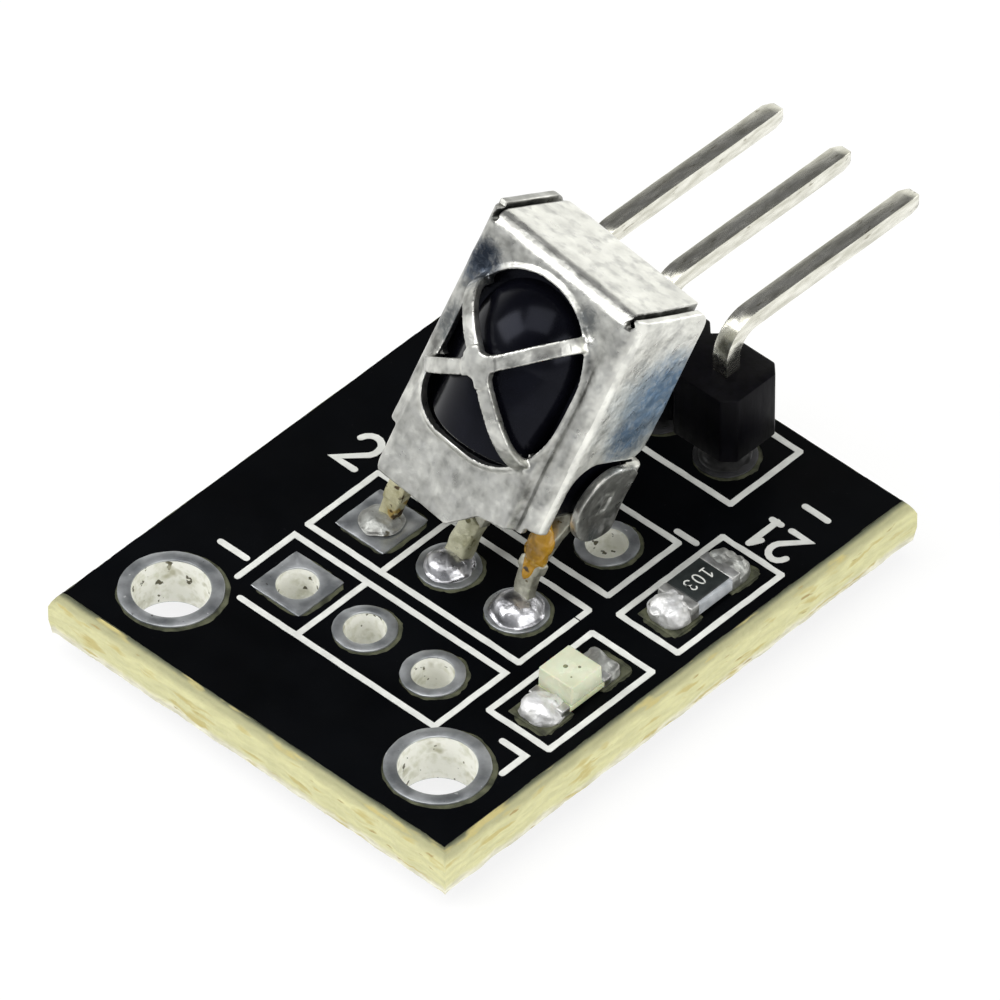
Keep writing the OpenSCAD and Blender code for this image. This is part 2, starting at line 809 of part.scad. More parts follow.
module header_pin_left() { color("silver") pin_shape(-1); }
module header_pin_middle() { color("silver") pin_shape(0); }
module header_pin_right() { color("silver") pin_shape(1); }

module pin_solder(k) {
    color("whitesmoke") difference() {
        translate([row_shift + k * pitch, header_row_y, 0])
            solder_cone(header_hole_r, lead_cone_r, lead_cone_h * 0.8, pin_neck_r);
        pin_leg(k);
    }
}

module pin_solder_left() { pin_solder(-1); }
module pin_solder_middle() { pin_solder(0); }
module pin_solder_right() { pin_solder(1); }

// frame of a chip part: its length runs along y, its foot on the pads
module at_chip(mid_y) {
    translate([chip_mid_x, mid_y, 0]) children();
}

module chip_pads(mid_y) {
    color("silver") at_chip(mid_y)
        for (side = [-1, 1])
            translate([-chip_pad_w / 2, side * (chip_pad_gap + chip_pad_l) / 2 - chip_pad_l / 2, board_top])
                cube([chip_pad_w, chip_pad_l, plate_t]);
}

// metal wrapped round both ends of a chip part, seen from the side
module chip_caps(mid_y, h) {
    color("gainsboro") at_chip(mid_y) translate([0, 0, chip_foot_z])
        for (side = [-1, 1])
            translate([-chip_w / 2, 0, 0]) rotate([90, 0, 90]) linear_extrude(chip_w)
                difference() {
                    translate([side * (chip_l - cap_l) / 2 - cap_l / 2, 0]) square([cap_l, h]);
                    translate([-chip_l / 2 + cap_t, cap_t]) square([chip_l - 2 * cap_t, h - 2 * cap_t]);
                }
}

// the block between the end metal, as wide as the chip part
module chip_core(h) {
    translate([-chip_w / 2, -chip_l / 2 + cap_t, cap_t])
        cube([chip_w, chip_l - 2 * cap_t, h - 2 * cap_t]);
}

// solder from the outer end of a pad up to the end metal
module chip_solder(mid_y, side, h) {
    far = chip_end_r - 0.06;
    near = chip_l / 2;
    color("whitesmoke") at_chip(mid_y) translate([0, 0, chip_foot_z])
        translate([-chip_pad_w / 2 + 0.04, 0, 0]) rotate([90, 0, 90]) linear_extrude(chip_pad_w - 0.08)
            polygon([
                [side * near, 0], [side * far, 0], [side * far, 0.08],
                [side * (near + (far - near) * 0.5), h * 0.55], [side * (near + 0.1), h], [side * near, h]
            ]);
}

module resistor_pads() { chip_pads(resistor_y); }
module resistor_core() {
    color("#8d8f90") at_chip(resistor_y) translate([0, 0, chip_foot_z]) chip_core(resistor_h);
}

module resistor_coat() {
    color("#1a1a1a") at_chip(resistor_y)
        translate([-chip_w / 2, -coat_l / 2, chip_foot_z + resistor_h - cap_t])
            cube([chip_w, coat_l, coat_t]);
}

module resistor_caps() { chip_caps(resistor_y, resistor_h); }
module resistor_solder_front() { chip_solder(resistor_y, -1, resistor_h); }
module resistor_solder_back() { chip_solder(resistor_y, 1, resistor_h); }

module light_pads() { chip_pads(light_y); }
module light_base() {
    color("#d8dcc8") at_chip(light_y) translate([0, 0, chip_foot_z]) chip_core(light_base_h);
}

module light_caps() { chip_caps(light_y, light_base_h); }
module light_solder_front() { chip_solder(light_y, -1, light_base_h); }
module light_solder_back() { chip_solder(light_y, 1, light_base_h); }

module light_lens() {
    color("#e6ecc0", 0.7) difference() {
        at_chip(light_y) translate([-chip_w / 2, -block_l / 2, chip_foot_z + light_base_h - cap_t])
            cube([chip_w, block_l, block_h]);
        light_die();
    }
}

module light_die() {
    at_chip(light_y) translate([-die_w / 2, -die_w / 2, chip_foot_z + light_base_h - cap_t])
        cube([die_w, die_w, die_h]);
}

module light_chip() { color("#6b6f3a") light_die(); }

circuit_board();
mount_ring_left();
mount_ring_right();
front_hole_left();
front_hole_middle();
front_hole_right();
receiver_hole_left();
receiver_hole_middle();
receiver_hole_right();
rear_hole_left();
rear_hole_middle();
rear_hole_right();
header_hole_left();
header_hole_middle();
header_hole_right();
printed_frames();
receiver_shield();
receiver_body();
photodiode_chip();
amplifier_chip();
receiver_lead_left();
receiver_lead_middle();
receiver_lead_right();
lead_solder_left();
lead_solder_middle();
lead_solder_right();
header_body();
header_pin_left();
header_pin_middle();
header_pin_right();
pin_solder_left();
pin_solder_middle();
pin_solder_right();
resistor_pads();
resistor_core();
resistor_coat();
resistor_caps();
resistor_solder_front();
resistor_solder_back();
light_pads();
light_base();
light_lens();
light_chip();
light_caps();
light_solder_front();
light_solder_back();
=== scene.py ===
"""Looks of the infrared receiver module: its board, holes, print, receiver, header and chip parts."""

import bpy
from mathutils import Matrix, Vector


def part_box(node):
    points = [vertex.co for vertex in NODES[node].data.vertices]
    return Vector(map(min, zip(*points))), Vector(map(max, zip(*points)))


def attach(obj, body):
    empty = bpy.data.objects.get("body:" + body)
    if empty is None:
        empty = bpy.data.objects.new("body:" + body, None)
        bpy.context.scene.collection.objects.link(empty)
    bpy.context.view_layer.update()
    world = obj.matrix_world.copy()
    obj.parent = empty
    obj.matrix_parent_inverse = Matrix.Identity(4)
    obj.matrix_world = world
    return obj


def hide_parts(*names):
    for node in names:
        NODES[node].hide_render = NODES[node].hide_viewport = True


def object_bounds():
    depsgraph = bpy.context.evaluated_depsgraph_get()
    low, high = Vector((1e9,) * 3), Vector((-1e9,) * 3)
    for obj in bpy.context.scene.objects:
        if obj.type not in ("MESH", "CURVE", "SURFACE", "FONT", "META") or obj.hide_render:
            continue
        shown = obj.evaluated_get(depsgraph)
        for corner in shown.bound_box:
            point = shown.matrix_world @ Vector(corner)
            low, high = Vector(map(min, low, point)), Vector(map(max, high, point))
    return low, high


bl_info = {
    "name": "Infrared receiver module",
    "version": (1, 1, 0),
    "blender": (4, 5, 0),
    "location": "View3D > Sidebar > Module",
    "description": "Models and finishes the pieces of a small infrared receiver module",
    "category": "Object",
}

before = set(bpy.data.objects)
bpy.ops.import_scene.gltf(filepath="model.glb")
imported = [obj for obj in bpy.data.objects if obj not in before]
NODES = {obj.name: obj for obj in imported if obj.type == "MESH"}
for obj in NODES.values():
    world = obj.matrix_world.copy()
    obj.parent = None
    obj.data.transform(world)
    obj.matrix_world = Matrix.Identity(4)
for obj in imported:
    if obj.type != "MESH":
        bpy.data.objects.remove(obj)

import math
from contextlib import contextmanager

import bmesh
import bpy
from mathutils import Matrix, Vector, noise

CAD_BOX = [list(corner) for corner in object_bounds()]

# the pieces are modelled in millimetres and brought to metres when they are done
METRE = 0.001


def box_mm(node):
    """Lowest and highest corner of a CAD node, in millimetres."""
    low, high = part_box(node)
    return low / METRE, high / METRE


def middle_of(node):
    """Centre of a CAD node's box, in millimetres."""
    low, high = box_mm(node)
    return (low + high) / 2


BOARD_LOW, BOARD_HIGH = box_mm("circuit_board")
TOP = BOARD_HIGH.z
SIDES = ("left", "middle", "right")
ROWS = {row: middle_of(row + "_hole_middle").y for row in ("front", "receiver", "rear", "header")}
ROW_X = (middle_of("receiver_hole_left").x + middle_of("receiver_hole_right").x) / 2
PITCH = (middle_of("receiver_hole_right").x - middle_of("receiver_hole_left").x) / 2
MOUNTS = {side: middle_of("mount_ring_" + side) for side in ("left", "right")}
BORES = {"mount": 1.1, "header": 0.51}
ROW_BORE = 0.6
PLATE = 0.05
PAD = TOP + PLATE
LIGHT_MID = middle_of("light_caps")
RESISTOR_MID = middle_of("resistor_caps")

# the receiver in its own upright frame, seen from the front: half its width, its faces and its lens
HALF = 2.93
FRONT = -1.85
SHIELD_TOP = 10.2
OPENING_X, OPENING_R, OPENING_FOOT, OPENING_HIGH = -0.09, 2.15, 3.9, 7.35
OPENING_CORNERS = ((-1.04, 5.1, 1.2), (-0.04, 6.0, 2.1))
LENS_Y, LENS_R, LENS_FOOT = -0.90, 1.95, 4.42
CROSS = (-0.22, 6.78)
BARS = ((142, 2.44), (44.5, 2.72), (214, 2.56), (-46.5, 2.93))
EAR_Y, EAR_Z, EAR_R, EAR_X = 0.642, 3.99, 1.2, 3.08


class BoardSizes(bpy.types.PropertyGroup):
    """Sizes of the board's layers, in millimetres."""
    groove: bpy.props.FloatProperty(
        name="Groove inset", description="How far the scored groove cuts in", default=0.28, min=0.1)
    band: bpy.props.FloatProperty(
        name="Broken band", description="Height of the broken band", default=0.5, min=0.1)
    mask: bpy.props.FloatProperty(
        name="Mask thickness", description="Thickness of the solder mask", default=0.022, min=0.01)
    mask_slip: bpy.props.FloatProperty(
        name="Mask slip", description="How far the mask sits to the right of the pads", default=0.085)
    ink: bpy.props.FloatProperty(
        name="Ink height", description="Top of the printed ink above the board", default=0.04, min=0.02)
    line: bpy.props.FloatProperty(
        name="Line width", description="Width of a printed line", default=0.19, min=0.05)


class ReceiverPose(bpy.types.PropertyGroup):
    """Where the receiver stands and how it leans."""
    foot: bpy.props.FloatVectorProperty(
        name="Foot", description="Foot of the middle lead, in millimetres", size=3,
        default=(ROW_X, ROWS["receiver"] + 0.2, TOP))
    yaw: bpy.props.FloatProperty(
        name="Turn", description="Turn on the board", subtype="ANGLE", default=math.radians(0.6))
    lean: bpy.props.FloatProperty(
        name="Lean", description="Backward lean", subtype="ANGLE", default=math.radians(28.5))
    roll: bpy.props.FloatProperty(
        name="Roll", description="Sideways lean", subtype="ANGLE", default=math.radians(6.56))
    cell: bpy.props.FloatProperty(
        name="Sheet cell", description="Size of the shield's mesh cells, in millimetres",
        default=0.036, min=0.03)
    bulge: bpy.props.FloatProperty(
        name="Front bulge", description="How far the lower front stands out, in millimetres",
        default=0.2, min=0.0)


class FinishColours(bpy.types.PropertyGroup):
    """Main colours of the finishes."""
    mask: bpy.props.FloatVectorProperty(
        name="Solder mask", description="Colour of the board's mask", subtype="COLOR", size=3,
        default=(0.0010, 0.0013, 0.0019))
    laminate: bpy.props.FloatVectorProperty(
        name="Laminate", description="Colour of the broken edge", subtype="COLOR", size=3,
        default=(0.68, 0.66, 0.36))
    ink: bpy.props.FloatVectorProperty(
        name="Ink", description="Colour of the print", subtype="COLOR", size=3,
        default=(0.80, 0.81, 0.76))
    tin: bpy.props.FloatVectorProperty(
        name="Tinned sheet", description="Colour of the shield", subtype="COLOR", size=3,
        default=(0.99, 0.99, 0.92))
    resin: bpy.props.FloatVectorProperty(
        name="Dark resin", description="Colour of the receiver's body", subtype="COLOR", size=3,
        default=(0.0025, 0.0026, 0.0045))
    flux: bpy.props.FloatVectorProperty(
        name="Flux", description="Colour of the flux left on a lead", subtype="COLOR", size=3,
        default=(0.38, 0.20, 0.012))


def only(piece):
    """Selects one piece and nothing else."""
    bpy.ops.object.select_all(action="DESELECT")
    piece.select_set(True)
    bpy.context.view_layer.objects.active = piece


@contextmanager
def editing(piece, kind="FACE"):
    """Edit mode on one piece, with everything deselected."""
    only(piece)
    bpy.ops.object.mode_set(mode="EDIT")
    bpy.ops.mesh.select_mode(type=kind)
    bpy.ops.mesh.select_all(action="DESELECT")
    shape = bmesh.from_edit_mesh(piece.data)
    yield shape
    bpy.ops.object.mode_set(mode="OBJECT")


def pick(piece, shape, test):
    """Selects the faces that pass a test."""
    for face in shape.faces:
        face.select_set(bool(test(face)))
    bmesh.update_edit_mesh(piece.data)


def finish_with(piece, kind, **settings):
    """Adds a modifier and applies it."""
    only(piece)
    step = piece.modifiers.new(kind.lower(), kind)
    for name, value in settings.items():
        setattr(step, name, value)
    bpy.ops.object.modifier_apply(modifier=step.name)


def combine(piece, tool, how="DIFFERENCE"):
    """Cuts a tool out of a piece, or joins it on, and clears the tool away."""
    finish_with(piece, "BOOLEAN", operation=how, solver="EXACT", object=tool)
    bpy.data.objects.remove(tool)


def added(name):
    """The primitive that was just added, with its place in its mesh."""
    piece = bpy.context.object
    bpy.ops.object.transform_apply(location=True, rotation=True, scale=True)
    piece.name = name
    return piece


def block(name, low, high):
    """A block from its lowest to its highest corner."""
    low, high = Vector(low), Vector(high)
    bpy.ops.object.select_all(action="DESELECT")
    bpy.ops.mesh.primitive_cube_add(size=1, location=(low + high) / 2)
    bpy.context.object.scale = high - low
    return added(name)


def rod(name, radius, low, high, at, facets=48):
    """An upright round rod."""
    bpy.ops.object.select_all(action="DESELECT")
    bpy.ops.mesh.primitive_cylinder_add(
        vertices=facets, radius=radius, depth=high - low, location=(at[0], at[1], (low + high) / 2))
    return added(name)


def ball(name, radius, at, detail=5):
    """An even ball of small triangles."""
    bpy.ops.object.select_all(action="DESELECT")
    bpy.ops.mesh.primitive_ico_sphere_add(subdivisions=detail, radius=radius, location=at)
    return added(name)


def rounded(piece, width, segments=2, angle=0.5):
    """Rounds the sharp edges of a piece."""
    finish_with(piece, "BEVEL", width=width, segments=segments, limit_method="ANGLE", angle_limit=angle,
                use_clamp_overlap=True)


def new_piece(name):
    """An empty mesh piece to draw on."""
    piece = bpy.data.objects.new(name, bpy.data.meshes.new(name))
    bpy.context.scene.collection.objects.link(piece)
    return piece


def turned(name, outline, steps=48):
    """A piece turned on a lathe from a half outline of (radius, height) points, round its own axis."""
    piece = new_piece(name)
    with editing(piece, "VERT") as shape:
        points = [shape.verts.new((r, 0, z)) for r, z in outline]
        for a, b in zip(points, points[1:]):
            shape.edges.new((a, b))
        bmesh.update_edit_mesh(piece.data)
        bpy.ops.mesh.select_all(action="SELECT")
        bpy.ops.mesh.spin(steps=steps, angle=2 * math.pi, center=(0, 0, 0), axis=(0, 0, 1))
        bpy.ops.mesh.select_all(action="SELECT")
        bpy.ops.mesh.remove_doubles(threshold=0.0005)
        bpy.ops.mesh.normals_make_consistent(inside=False)
    return piece


def drawn_through(name, rows):
    """A bar drawn through rows of points, each row as long as the next, and closed at both ends."""
    piece = new_piece(name)
    with editing(piece, "VERT") as shape:
        made = [[shape.verts.new(point) for point in row] for row in rows]
        count = len(rows[0])
        for row, ahead in zip(made, made[1:]):
            for k in range(count):
                shape.faces.new((row[k], row[(k + 1) % count], ahead[(k + 1) % count], ahead[k]))
        shape.faces.new(list(reversed(made[0])))
        shape.faces.new(made[-1])
        bmesh.update_edit_mesh(piece.data)
        bpy.ops.mesh.select_all(action="SELECT")
        bpy.ops.mesh.normals_make_consistent(inside=False)
    return piece


def slab(name, outline, low, high):
    """A flat slab with the given outline."""
    return drawn_through(name, [[(x, y, low) for x, y in outline], [(x, y, high) for x, y in outline]])


def wobble(point, size, amount, seed=0.0):
    """A smooth random shift of a point."""
    place = Vector(point) / size + Vector((seed, seed * 1.7, seed * 0.6))
    return noise.noise_vector(place) * amount


def joined(name, pieces):
    """Several meshes in one object."""
    bpy.ops.object.select_all(action="DESELECT")
    for piece in pieces:
        piece.select_set(True)
    bpy.context.view_layer.objects.active = pieces[0]
    bpy.ops.object.join()
    pieces[0].name = name
    return pieces[0]


def smooth_step(a, b, x):
    """0 below a, 1 above b, smooth between."""
    t = min(1.0, max(0.0, (x - a) / (b - a)))
    return t * t * (3 - 2 * t)


def hill(x, middle, width):
    """1 at the middle, fading to nothing about two widths away."""
    return math.exp(-((x - middle) / width) ** 2)


def receiver_matrix():
    """The receiver's leaning place, from the board."""
    pose = bpy.context.scene.receiver_pose
    turn = Matrix.Rotation(pose.yaw, 4, "Z") @ Matrix.Rotation(-pose.lean, 4, "X")
    return Matrix.Translation(pose.foot) @ turn @ Matrix.Rotation(pose.roll, 4, "Y")


def settle(piece, finishes, nodes=(), matrix=None, smooth=0.6):
    """Brings a finished piece to metres and its place, gives it its finishes and hangs it on the frame."""
    if matrix is not None:
        piece.data.transform(matrix)
    piece.data.transform(Matrix.Scale(METRE, 4))
    piece.data.materials.clear()
    for name in [finishes] if isinstance(finishes, str) else finishes:
        piece.data.materials.append(bpy.data.materials[name])
    only(piece)
    bpy.ops.object.shade_smooth_by_angle(angle=smooth)
    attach(piece, "root")
    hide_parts(*nodes)
    return piece


def refinish(node, name):
    """Gives a CAD node that is shown as it is a better finish."""
    for place in NODES[node].material_slots:
        place.link = "DATA"
    NODES[node].data.materials.clear()
    NODES[node].data.materials.append(bpy.data.materials[name])


def tree_group(name, ins, outs):
    """A node group with named inputs and outputs, its place in millimetres and a way to set nodes."""
    group = bpy.data.node_groups.new(name, "ShaderNodeTree")
    for label, kind, value in ins:
        socket = group.interface.new_socket(name=label, in_out="INPUT", socket_type=kind)
        socket.default_value = value
    for label, kind in outs:
        group.interface.new_socket(name=label, in_out="OUTPUT", socket_type=kind)
    nodes = group.nodes
    place = nodes.new("ShaderNodeTexCoord")
    to_mm = nodes.new("ShaderNodeVectorMath")
    to_mm.operation = "SCALE"
    to_mm.inputs["Scale"].default_value = 1 / METRE
    group.links.new(place.outputs["Object"], to_mm.inputs[0])
    return group, nodes.new("NodeGroupInput"), nodes.new("NodeGroupOutput"), to_mm.outputs[0]


def grain_group():
    """Noise at a scale per millimetre, stretched along the axes and cut between two levels."""
    group, start, end, place = tree_group(
        "Grain",
        [("Scale", "NodeSocketFloat", 4.0), ("Stretch", "NodeSocketVector", (1, 1, 1)),
         ("Detail", "NodeSocketFloat", 4.0), ("Low", "NodeSocketFloat", 0.35),
         ("High", "NodeSocketFloat", 0.65)],
        [("Value", "NodeSocketFloat")])
    nodes, link = group.nodes, group.links.new
    stretch = nodes.new("ShaderNodeVectorMath")
    stretch.operation = "MULTIPLY"
    speck = nodes.new("ShaderNodeTexNoise")
    level = nodes.new("ShaderNodeMapRange")
    link(place, stretch.inputs[0])
    link(start.outputs["Stretch"], stretch.inputs[1])
    link(stretch.outputs[0], speck.inputs["Vector"])
    link(start.outputs["Scale"], speck.inputs["Scale"])
    link(start.outputs["Detail"], speck.inputs["Detail"])
    link(speck.outputs[0], level.inputs["Value"])
    link(start.outputs["Low"], level.inputs["From Min"])
    link(start.outputs["High"], level.inputs["From Max"])
    link(level.outputs[0], end.inputs["Value"])


def patch_group():
    """A stain round a centre, in millimetres, broken up by noise."""
    group, start, end, place = tree_group(
        "Patch",
        [("Centre", "NodeSocketVector", (0, 0, 0)), ("Reach", "NodeSocketFloat", 1.0),
         ("Scale", "NodeSocketFloat", 3.0), ("Cover", "NodeSocketFloat", 0.5)],
        [("Mask", "NodeSocketFloat")])
    nodes, link = group.nodes, group.links.new
    away = nodes.new("ShaderNodeVectorMath")
    away.operation = "DISTANCE"
    fade = nodes.new("ShaderNodeMapRange")
    fade.interpolation_type = "SMOOTHSTEP"
    fade.inputs["From Min"].default_value = 1.0
    fade.inputs["From Max"].default_value = 0.0
    share = nodes.new("ShaderNodeMath")
    share.operation = "DIVIDE"
    speck = nodes.new("ShaderNodeTexNoise")
    speck.inputs["Detail"].default_value = 6.0
    speck.inputs["Roughness"].default_value = 0.65
    speck.inputs["Distortion"].default_value = 1.2
    total = nodes.new("ShaderNodeMath")
    total.operation = "MULTIPLY"
    level = nodes.new("ShaderNodeMapRange")
    level.inputs["From Max"].default_value = 0.5
    low = nodes.new("ShaderNodeMath")
    low.operation = "SUBTRACT"
    low.inputs[0].default_value = 0.5
    link(place, away.inputs[0])
    link(start.outputs["Centre"], away.inputs[1])
    link(away.outputs["Value"], share.inputs[0])
    link(start.outputs["Reach"], share.inputs[1])
    link(share.outputs[0], fade.inputs["Value"])
    link(place, speck.inputs["Vector"])
    link(start.outputs["Scale"], speck.inputs["Scale"])
    link(fade.outputs[0], total.inputs[0])
    link(speck.outputs[0], total.inputs[1])
    link(start.outputs["Cover"], low.inputs[1])
    link(low.outputs[0], level.inputs["From Min"])
    link(total.outputs[0], level.inputs["Value"])
    link(level.outputs[0], end.inputs["Mask"])


def layer_group():
    """How far a point is above a height in millimetres, with an uneven border."""
    group, start, end, place = tree_group(
        "Layer",
        [("Height", "NodeSocketFloat", 0.0), ("Soft", "NodeSocketFloat", 0.05),
         ("Uneven", "NodeSocketFloat", 0.1)],
        [("Mask", "NodeSocketFloat")])
    nodes, link = group.nodes, group.links.new
    parts = nodes.new("ShaderNodeSeparateXYZ")
    speck = nodes.new("ShaderNodeTexNoise")
    speck.inputs["Scale"].default_value = 1.6
    sway = nodes.new("ShaderNodeMath")
    sway.operation = "MULTIPLY_ADD"
    low, high = nodes.new("ShaderNodeMath"), nodes.new("ShaderNodeMath")
    low.operation, high.operation = "SUBTRACT", "ADD"
    level = nodes.new("ShaderNodeMapRange")
    level.interpolation_type = "SMOOTHSTEP"
    link(place, parts.inputs[0])
    link(place, speck.inputs["Vector"])
    link(speck.outputs[0], sway.inputs[0])
    link(start.outputs["Uneven"], sway.inputs[1])
    link(parts.outputs["Z"], sway.inputs[2])
    for edge in (low, high):
        link(start.outputs["Height"], edge.inputs[0])
        link(start.outputs["Soft"], edge.inputs[1])
    link(sway.outputs[0], level.inputs["Value"])
    link(low.outputs[0], level.inputs["From Min"])
    link(high.outputs[0], level.inputs["From Max"])
    link(level.outputs[0], end.inputs["Mask"])


def use_group(tree, name, **values):
    """Places a group in a material with its own values."""
    node = tree.nodes.new("ShaderNodeGroup")
    node.node_tree = bpy.data.node_groups[name]
    for label, value in values.items():
        node.inputs[label.capitalize()].default_value = value
    return node.outputs[0]


def mixed(tree, factor, low, high):
    """Two colours mixed by a factor. Each colour is a value or a socket."""
    node = tree.nodes.new("ShaderNodeMix")
    node.data_type = "RGBA"
    tree.links.new(factor, node.inputs[0])
    for index, colour in ((6, low), (7, high)):
        if isinstance(colour, bpy.types.NodeSocket):
            tree.links.new(colour, node.inputs[index])
        else:
            node.inputs[index].default_value = (*colour[:3], 1.0)
    return node.outputs[2]


def ranged(tree, value, low, high):
    """A value from 0 to 1 spread over a range."""
    node = tree.nodes.new("ShaderNodeMapRange")
    node.inputs["To Min"].default_value = low
    node.inputs["To Max"].default_value = high
    tree.links.new(value, node.inputs["Value"])
    return node.outputs[0]


def with_painted_light(tree, value, share):
    """Grain mixed by a share with the piece's own painted light and mottling, read from its point attribute."""
    paint = tree.nodes.new("ShaderNodeAttribute")
    paint.attribute_name = "light_and_mottle"
    node = tree.nodes.new("ShaderNodeMix")
    node.inputs[0].default_value = share
    tree.links.new(value, node.inputs[2])
    tree.links.new(paint.outputs["Fac"], node.inputs[3])
    return node.outputs[0]


def finish(name, dark, light, rough, grain=4.0, stretch=(1, 1, 1), levels=(0.35, 0.65), metal=0.0,
           bump=0.0, bump_grain=12.0, bump_stretch=(1, 1, 1), bump_depth=0.01, stains=(), specks=(),
           layers=(), light_and_mottle=0.0, **sockets):
    """A finish with mottled colour, uneven gloss and a fine surface. Scales are per millimetre."""
    material = bpy.data.materials.new(name)
    material.use_nodes = True
    tree = material.node_tree
    shader = tree.nodes["Principled BSDF"]
    shader.inputs["Metallic"].default_value = metal
    for label, value in sockets.items():
        shader.inputs[label.replace("_", " ")].default_value = value
    mottle = use_group(tree, "Grain", scale=grain, stretch=stretch, low=levels[0], high=levels[1])
    if light_and_mottle:
        mottle = with_painted_light(tree, mottle, light_and_mottle)
    colour = mixed(tree, mottle, dark, light)
    for layer_colour, height, soft, uneven in layers:
        above = use_group(tree, "Layer", height=height, soft=soft, uneven=uneven)
        colour = mixed(tree, above, colour, mixed(tree, mottle, Vector(layer_colour) * 0.85, layer_colour))
    for speck_colour, scale, low, wide in specks:
        dots = use_group(tree, "Grain", scale=scale, stretch=stretch, detail=2.0, low=low, high=low + wide)
        colour = mixed(tree, dots, colour, speck_colour)
    for stain_colour, centre, reach, scale, cover in stains:
        mask = use_group(tree, "Patch", centre=centre, reach=reach, scale=scale, cover=cover)
        colour = mixed(tree, mask, colour, stain_colour)
    tree.links.new(colour, shader.inputs["Base Color"])
    gloss = use_group(tree, "Grain", scale=grain * 1.7, stretch=stretch, low=0.3, high=0.7)
    tree.links.new(ranged(tree, gloss, *rough), shader.inputs["Roughness"])
    if bump:
        relief = use_group(tree, "Grain", scale=bump_grain, stretch=bump_stretch, low=0.2, high=0.8)
        node = tree.nodes.new("ShaderNodeBump")
        node.inputs["Strength"].default_value = bump
        node.inputs["Distance"].default_value = bump_depth * METRE
        tree.links.new(relief, node.inputs["Height"])
        tree.links.new(node.outputs[0], shader.inputs["Normal"])
    return material


def board_finishes(colours):
    """Finishes of the board, its print and its plated holes."""
    mask, laminate, ink = Vector(colours.mask), Vector(colours.laminate), Vector(colours.ink)
    finish("solder mask", mask * 0.7, mask * 1.5, (0.34, 0.46), grain=0.35, bump=0.1, bump_grain=1.2,
           specks=[((0.010, 0.010, 0.011), 9.0, 0.735, 0.05)], Specular_IOR_Level=0.045)
    finish("laminate", (0.60, 0.58, 0.44), (0.84, 0.82, 0.68), (0.55, 0.8), grain=2.2,
           stretch=(0.6, 0.6, 3.0), bump=0.8, bump_grain=6.0, bump_depth=0.04,
           # above 1.22 mm the edge darkens: painted shade on the scored groove's downward slope; above 1.44 mm it is
           # nearly black, just under the mask
           layers=[(laminate, 0.36, 0.14, 0.3), (laminate * 0.66, 1.22, 0.13, 0.06),
                   ((0.10, 0.11, 0.06), 1.44, 0.07, 0.03)],
           specks=[((0.54, 0.47, 0.19), 1.3, 0.57, 0.10), ((0.40, 0.31, 0.12), 2.3, 0.68, 0.06)])
    finish("bare ground", (0.035, 0.038, 0.022), (0.12, 0.125, 0.075), (0.45, 0.7), grain=2.6, bump=0.4,
           bump_grain=8.0, Specular_IOR_Level=0.3)
    finish("ink", ink * 0.86, ink, (0.55, 0.75), grain=3.0, bump=0.3, bump_grain=14.0)
    finish("shaded plating", (0.03, 0.03, 0.032), (0.07, 0.07, 0.075), (0.4, 0.55), grain=1.6, metal=0.5)
    finish("pad plating", (0.26, 0.275, 0.285), (0.60, 0.62, 0.63), (0.32, 0.50), grain=1.2, metal=0.9,
           bump=0.2, bump_grain=14.0, bump_depth=0.012,
           specks=[((0.12, 0.12, 0.12), 5.0, 0.72, 0.04), ((0.75, 0.76, 0.76), 4.0, 0.71, 0.03)])
    # pale plating raised near white and kept mostly diffuse: part its own colour, part a painted reflection of the
    # white floor
    finish("bore plating", (0.74, 0.74, 0.62), (0.96, 0.96, 0.89), (0.4, 0.6), grain=3.2, levels=(0.3, 0.5),
           metal=0.05, bump=0.6, bump_grain=7.0, bump_depth=0.03,
           specks=[((0.10, 0.09, 0.05), 3.4, 0.655, 0.02), ((0.52, 0.51, 0.38), 1.6, 0.58, 0.12)])


def shield_finish(colours):
    """Finish of the receiver's shield, with its stains; its colour runs from dark to bright tin by the painted light
    and mottling of its point attribute.
    """
    place = receiver_matrix()
    tin = Vector(colours.tin)
    left = [((0.10, 0.12, 0.15), place @ Vector((-2.3, FRONT, 8.5)), 1.7, 2.6, 0.27),
            ((0.025, 0.032, 0.045), place @ Vector((-2.35, FRONT, 8.75)), 1.25, 5.5, 0.31)]
    right = [((0.42, 0.50, 0.55), place @ Vector((HALF, 0.6, 7.2)), 3.0, 1.5, 0.42),
             ((0.17, 0.27, 0.40), place @ Vector((HALF, 0.9, 7.6)), 2.4, 3.4, 0.36),
             ((0.13, 0.21, 0.32), place @ Vector((HALF, 0.3, 6.2)), 1.7, 4.6, 0.33)]
    grey = [((0.16, 0.17, 0.17), place @ Vector(at), reach, 3.0, 0.24)
            for at, reach in (((-2.2, FRONT, 6.6), 1.6), ((1.4, FRONT, 9.3), 0.9), ((HALF, EAR_Y, 2.9), 1.0))]
    # grain and the point attribute's painted highlights, painted shade and mottling, at a share of 0.70 for the
    # attribute, spread the colour from tin * 0.10 up to the full tin colour
    finish("tinned sheet", tin * 0.10, tin, (0.26, 0.44), grain=1.5, levels=(0.28, 0.66), metal=0.95,
           bump=0.4, bump_grain=4.0, bump_depth=0.03, stains=left + right + grey, light_and_mottle=0.70,
           specks=[((0.55, 0.55, 0.52), 2.4, 0.50, 0.25)])


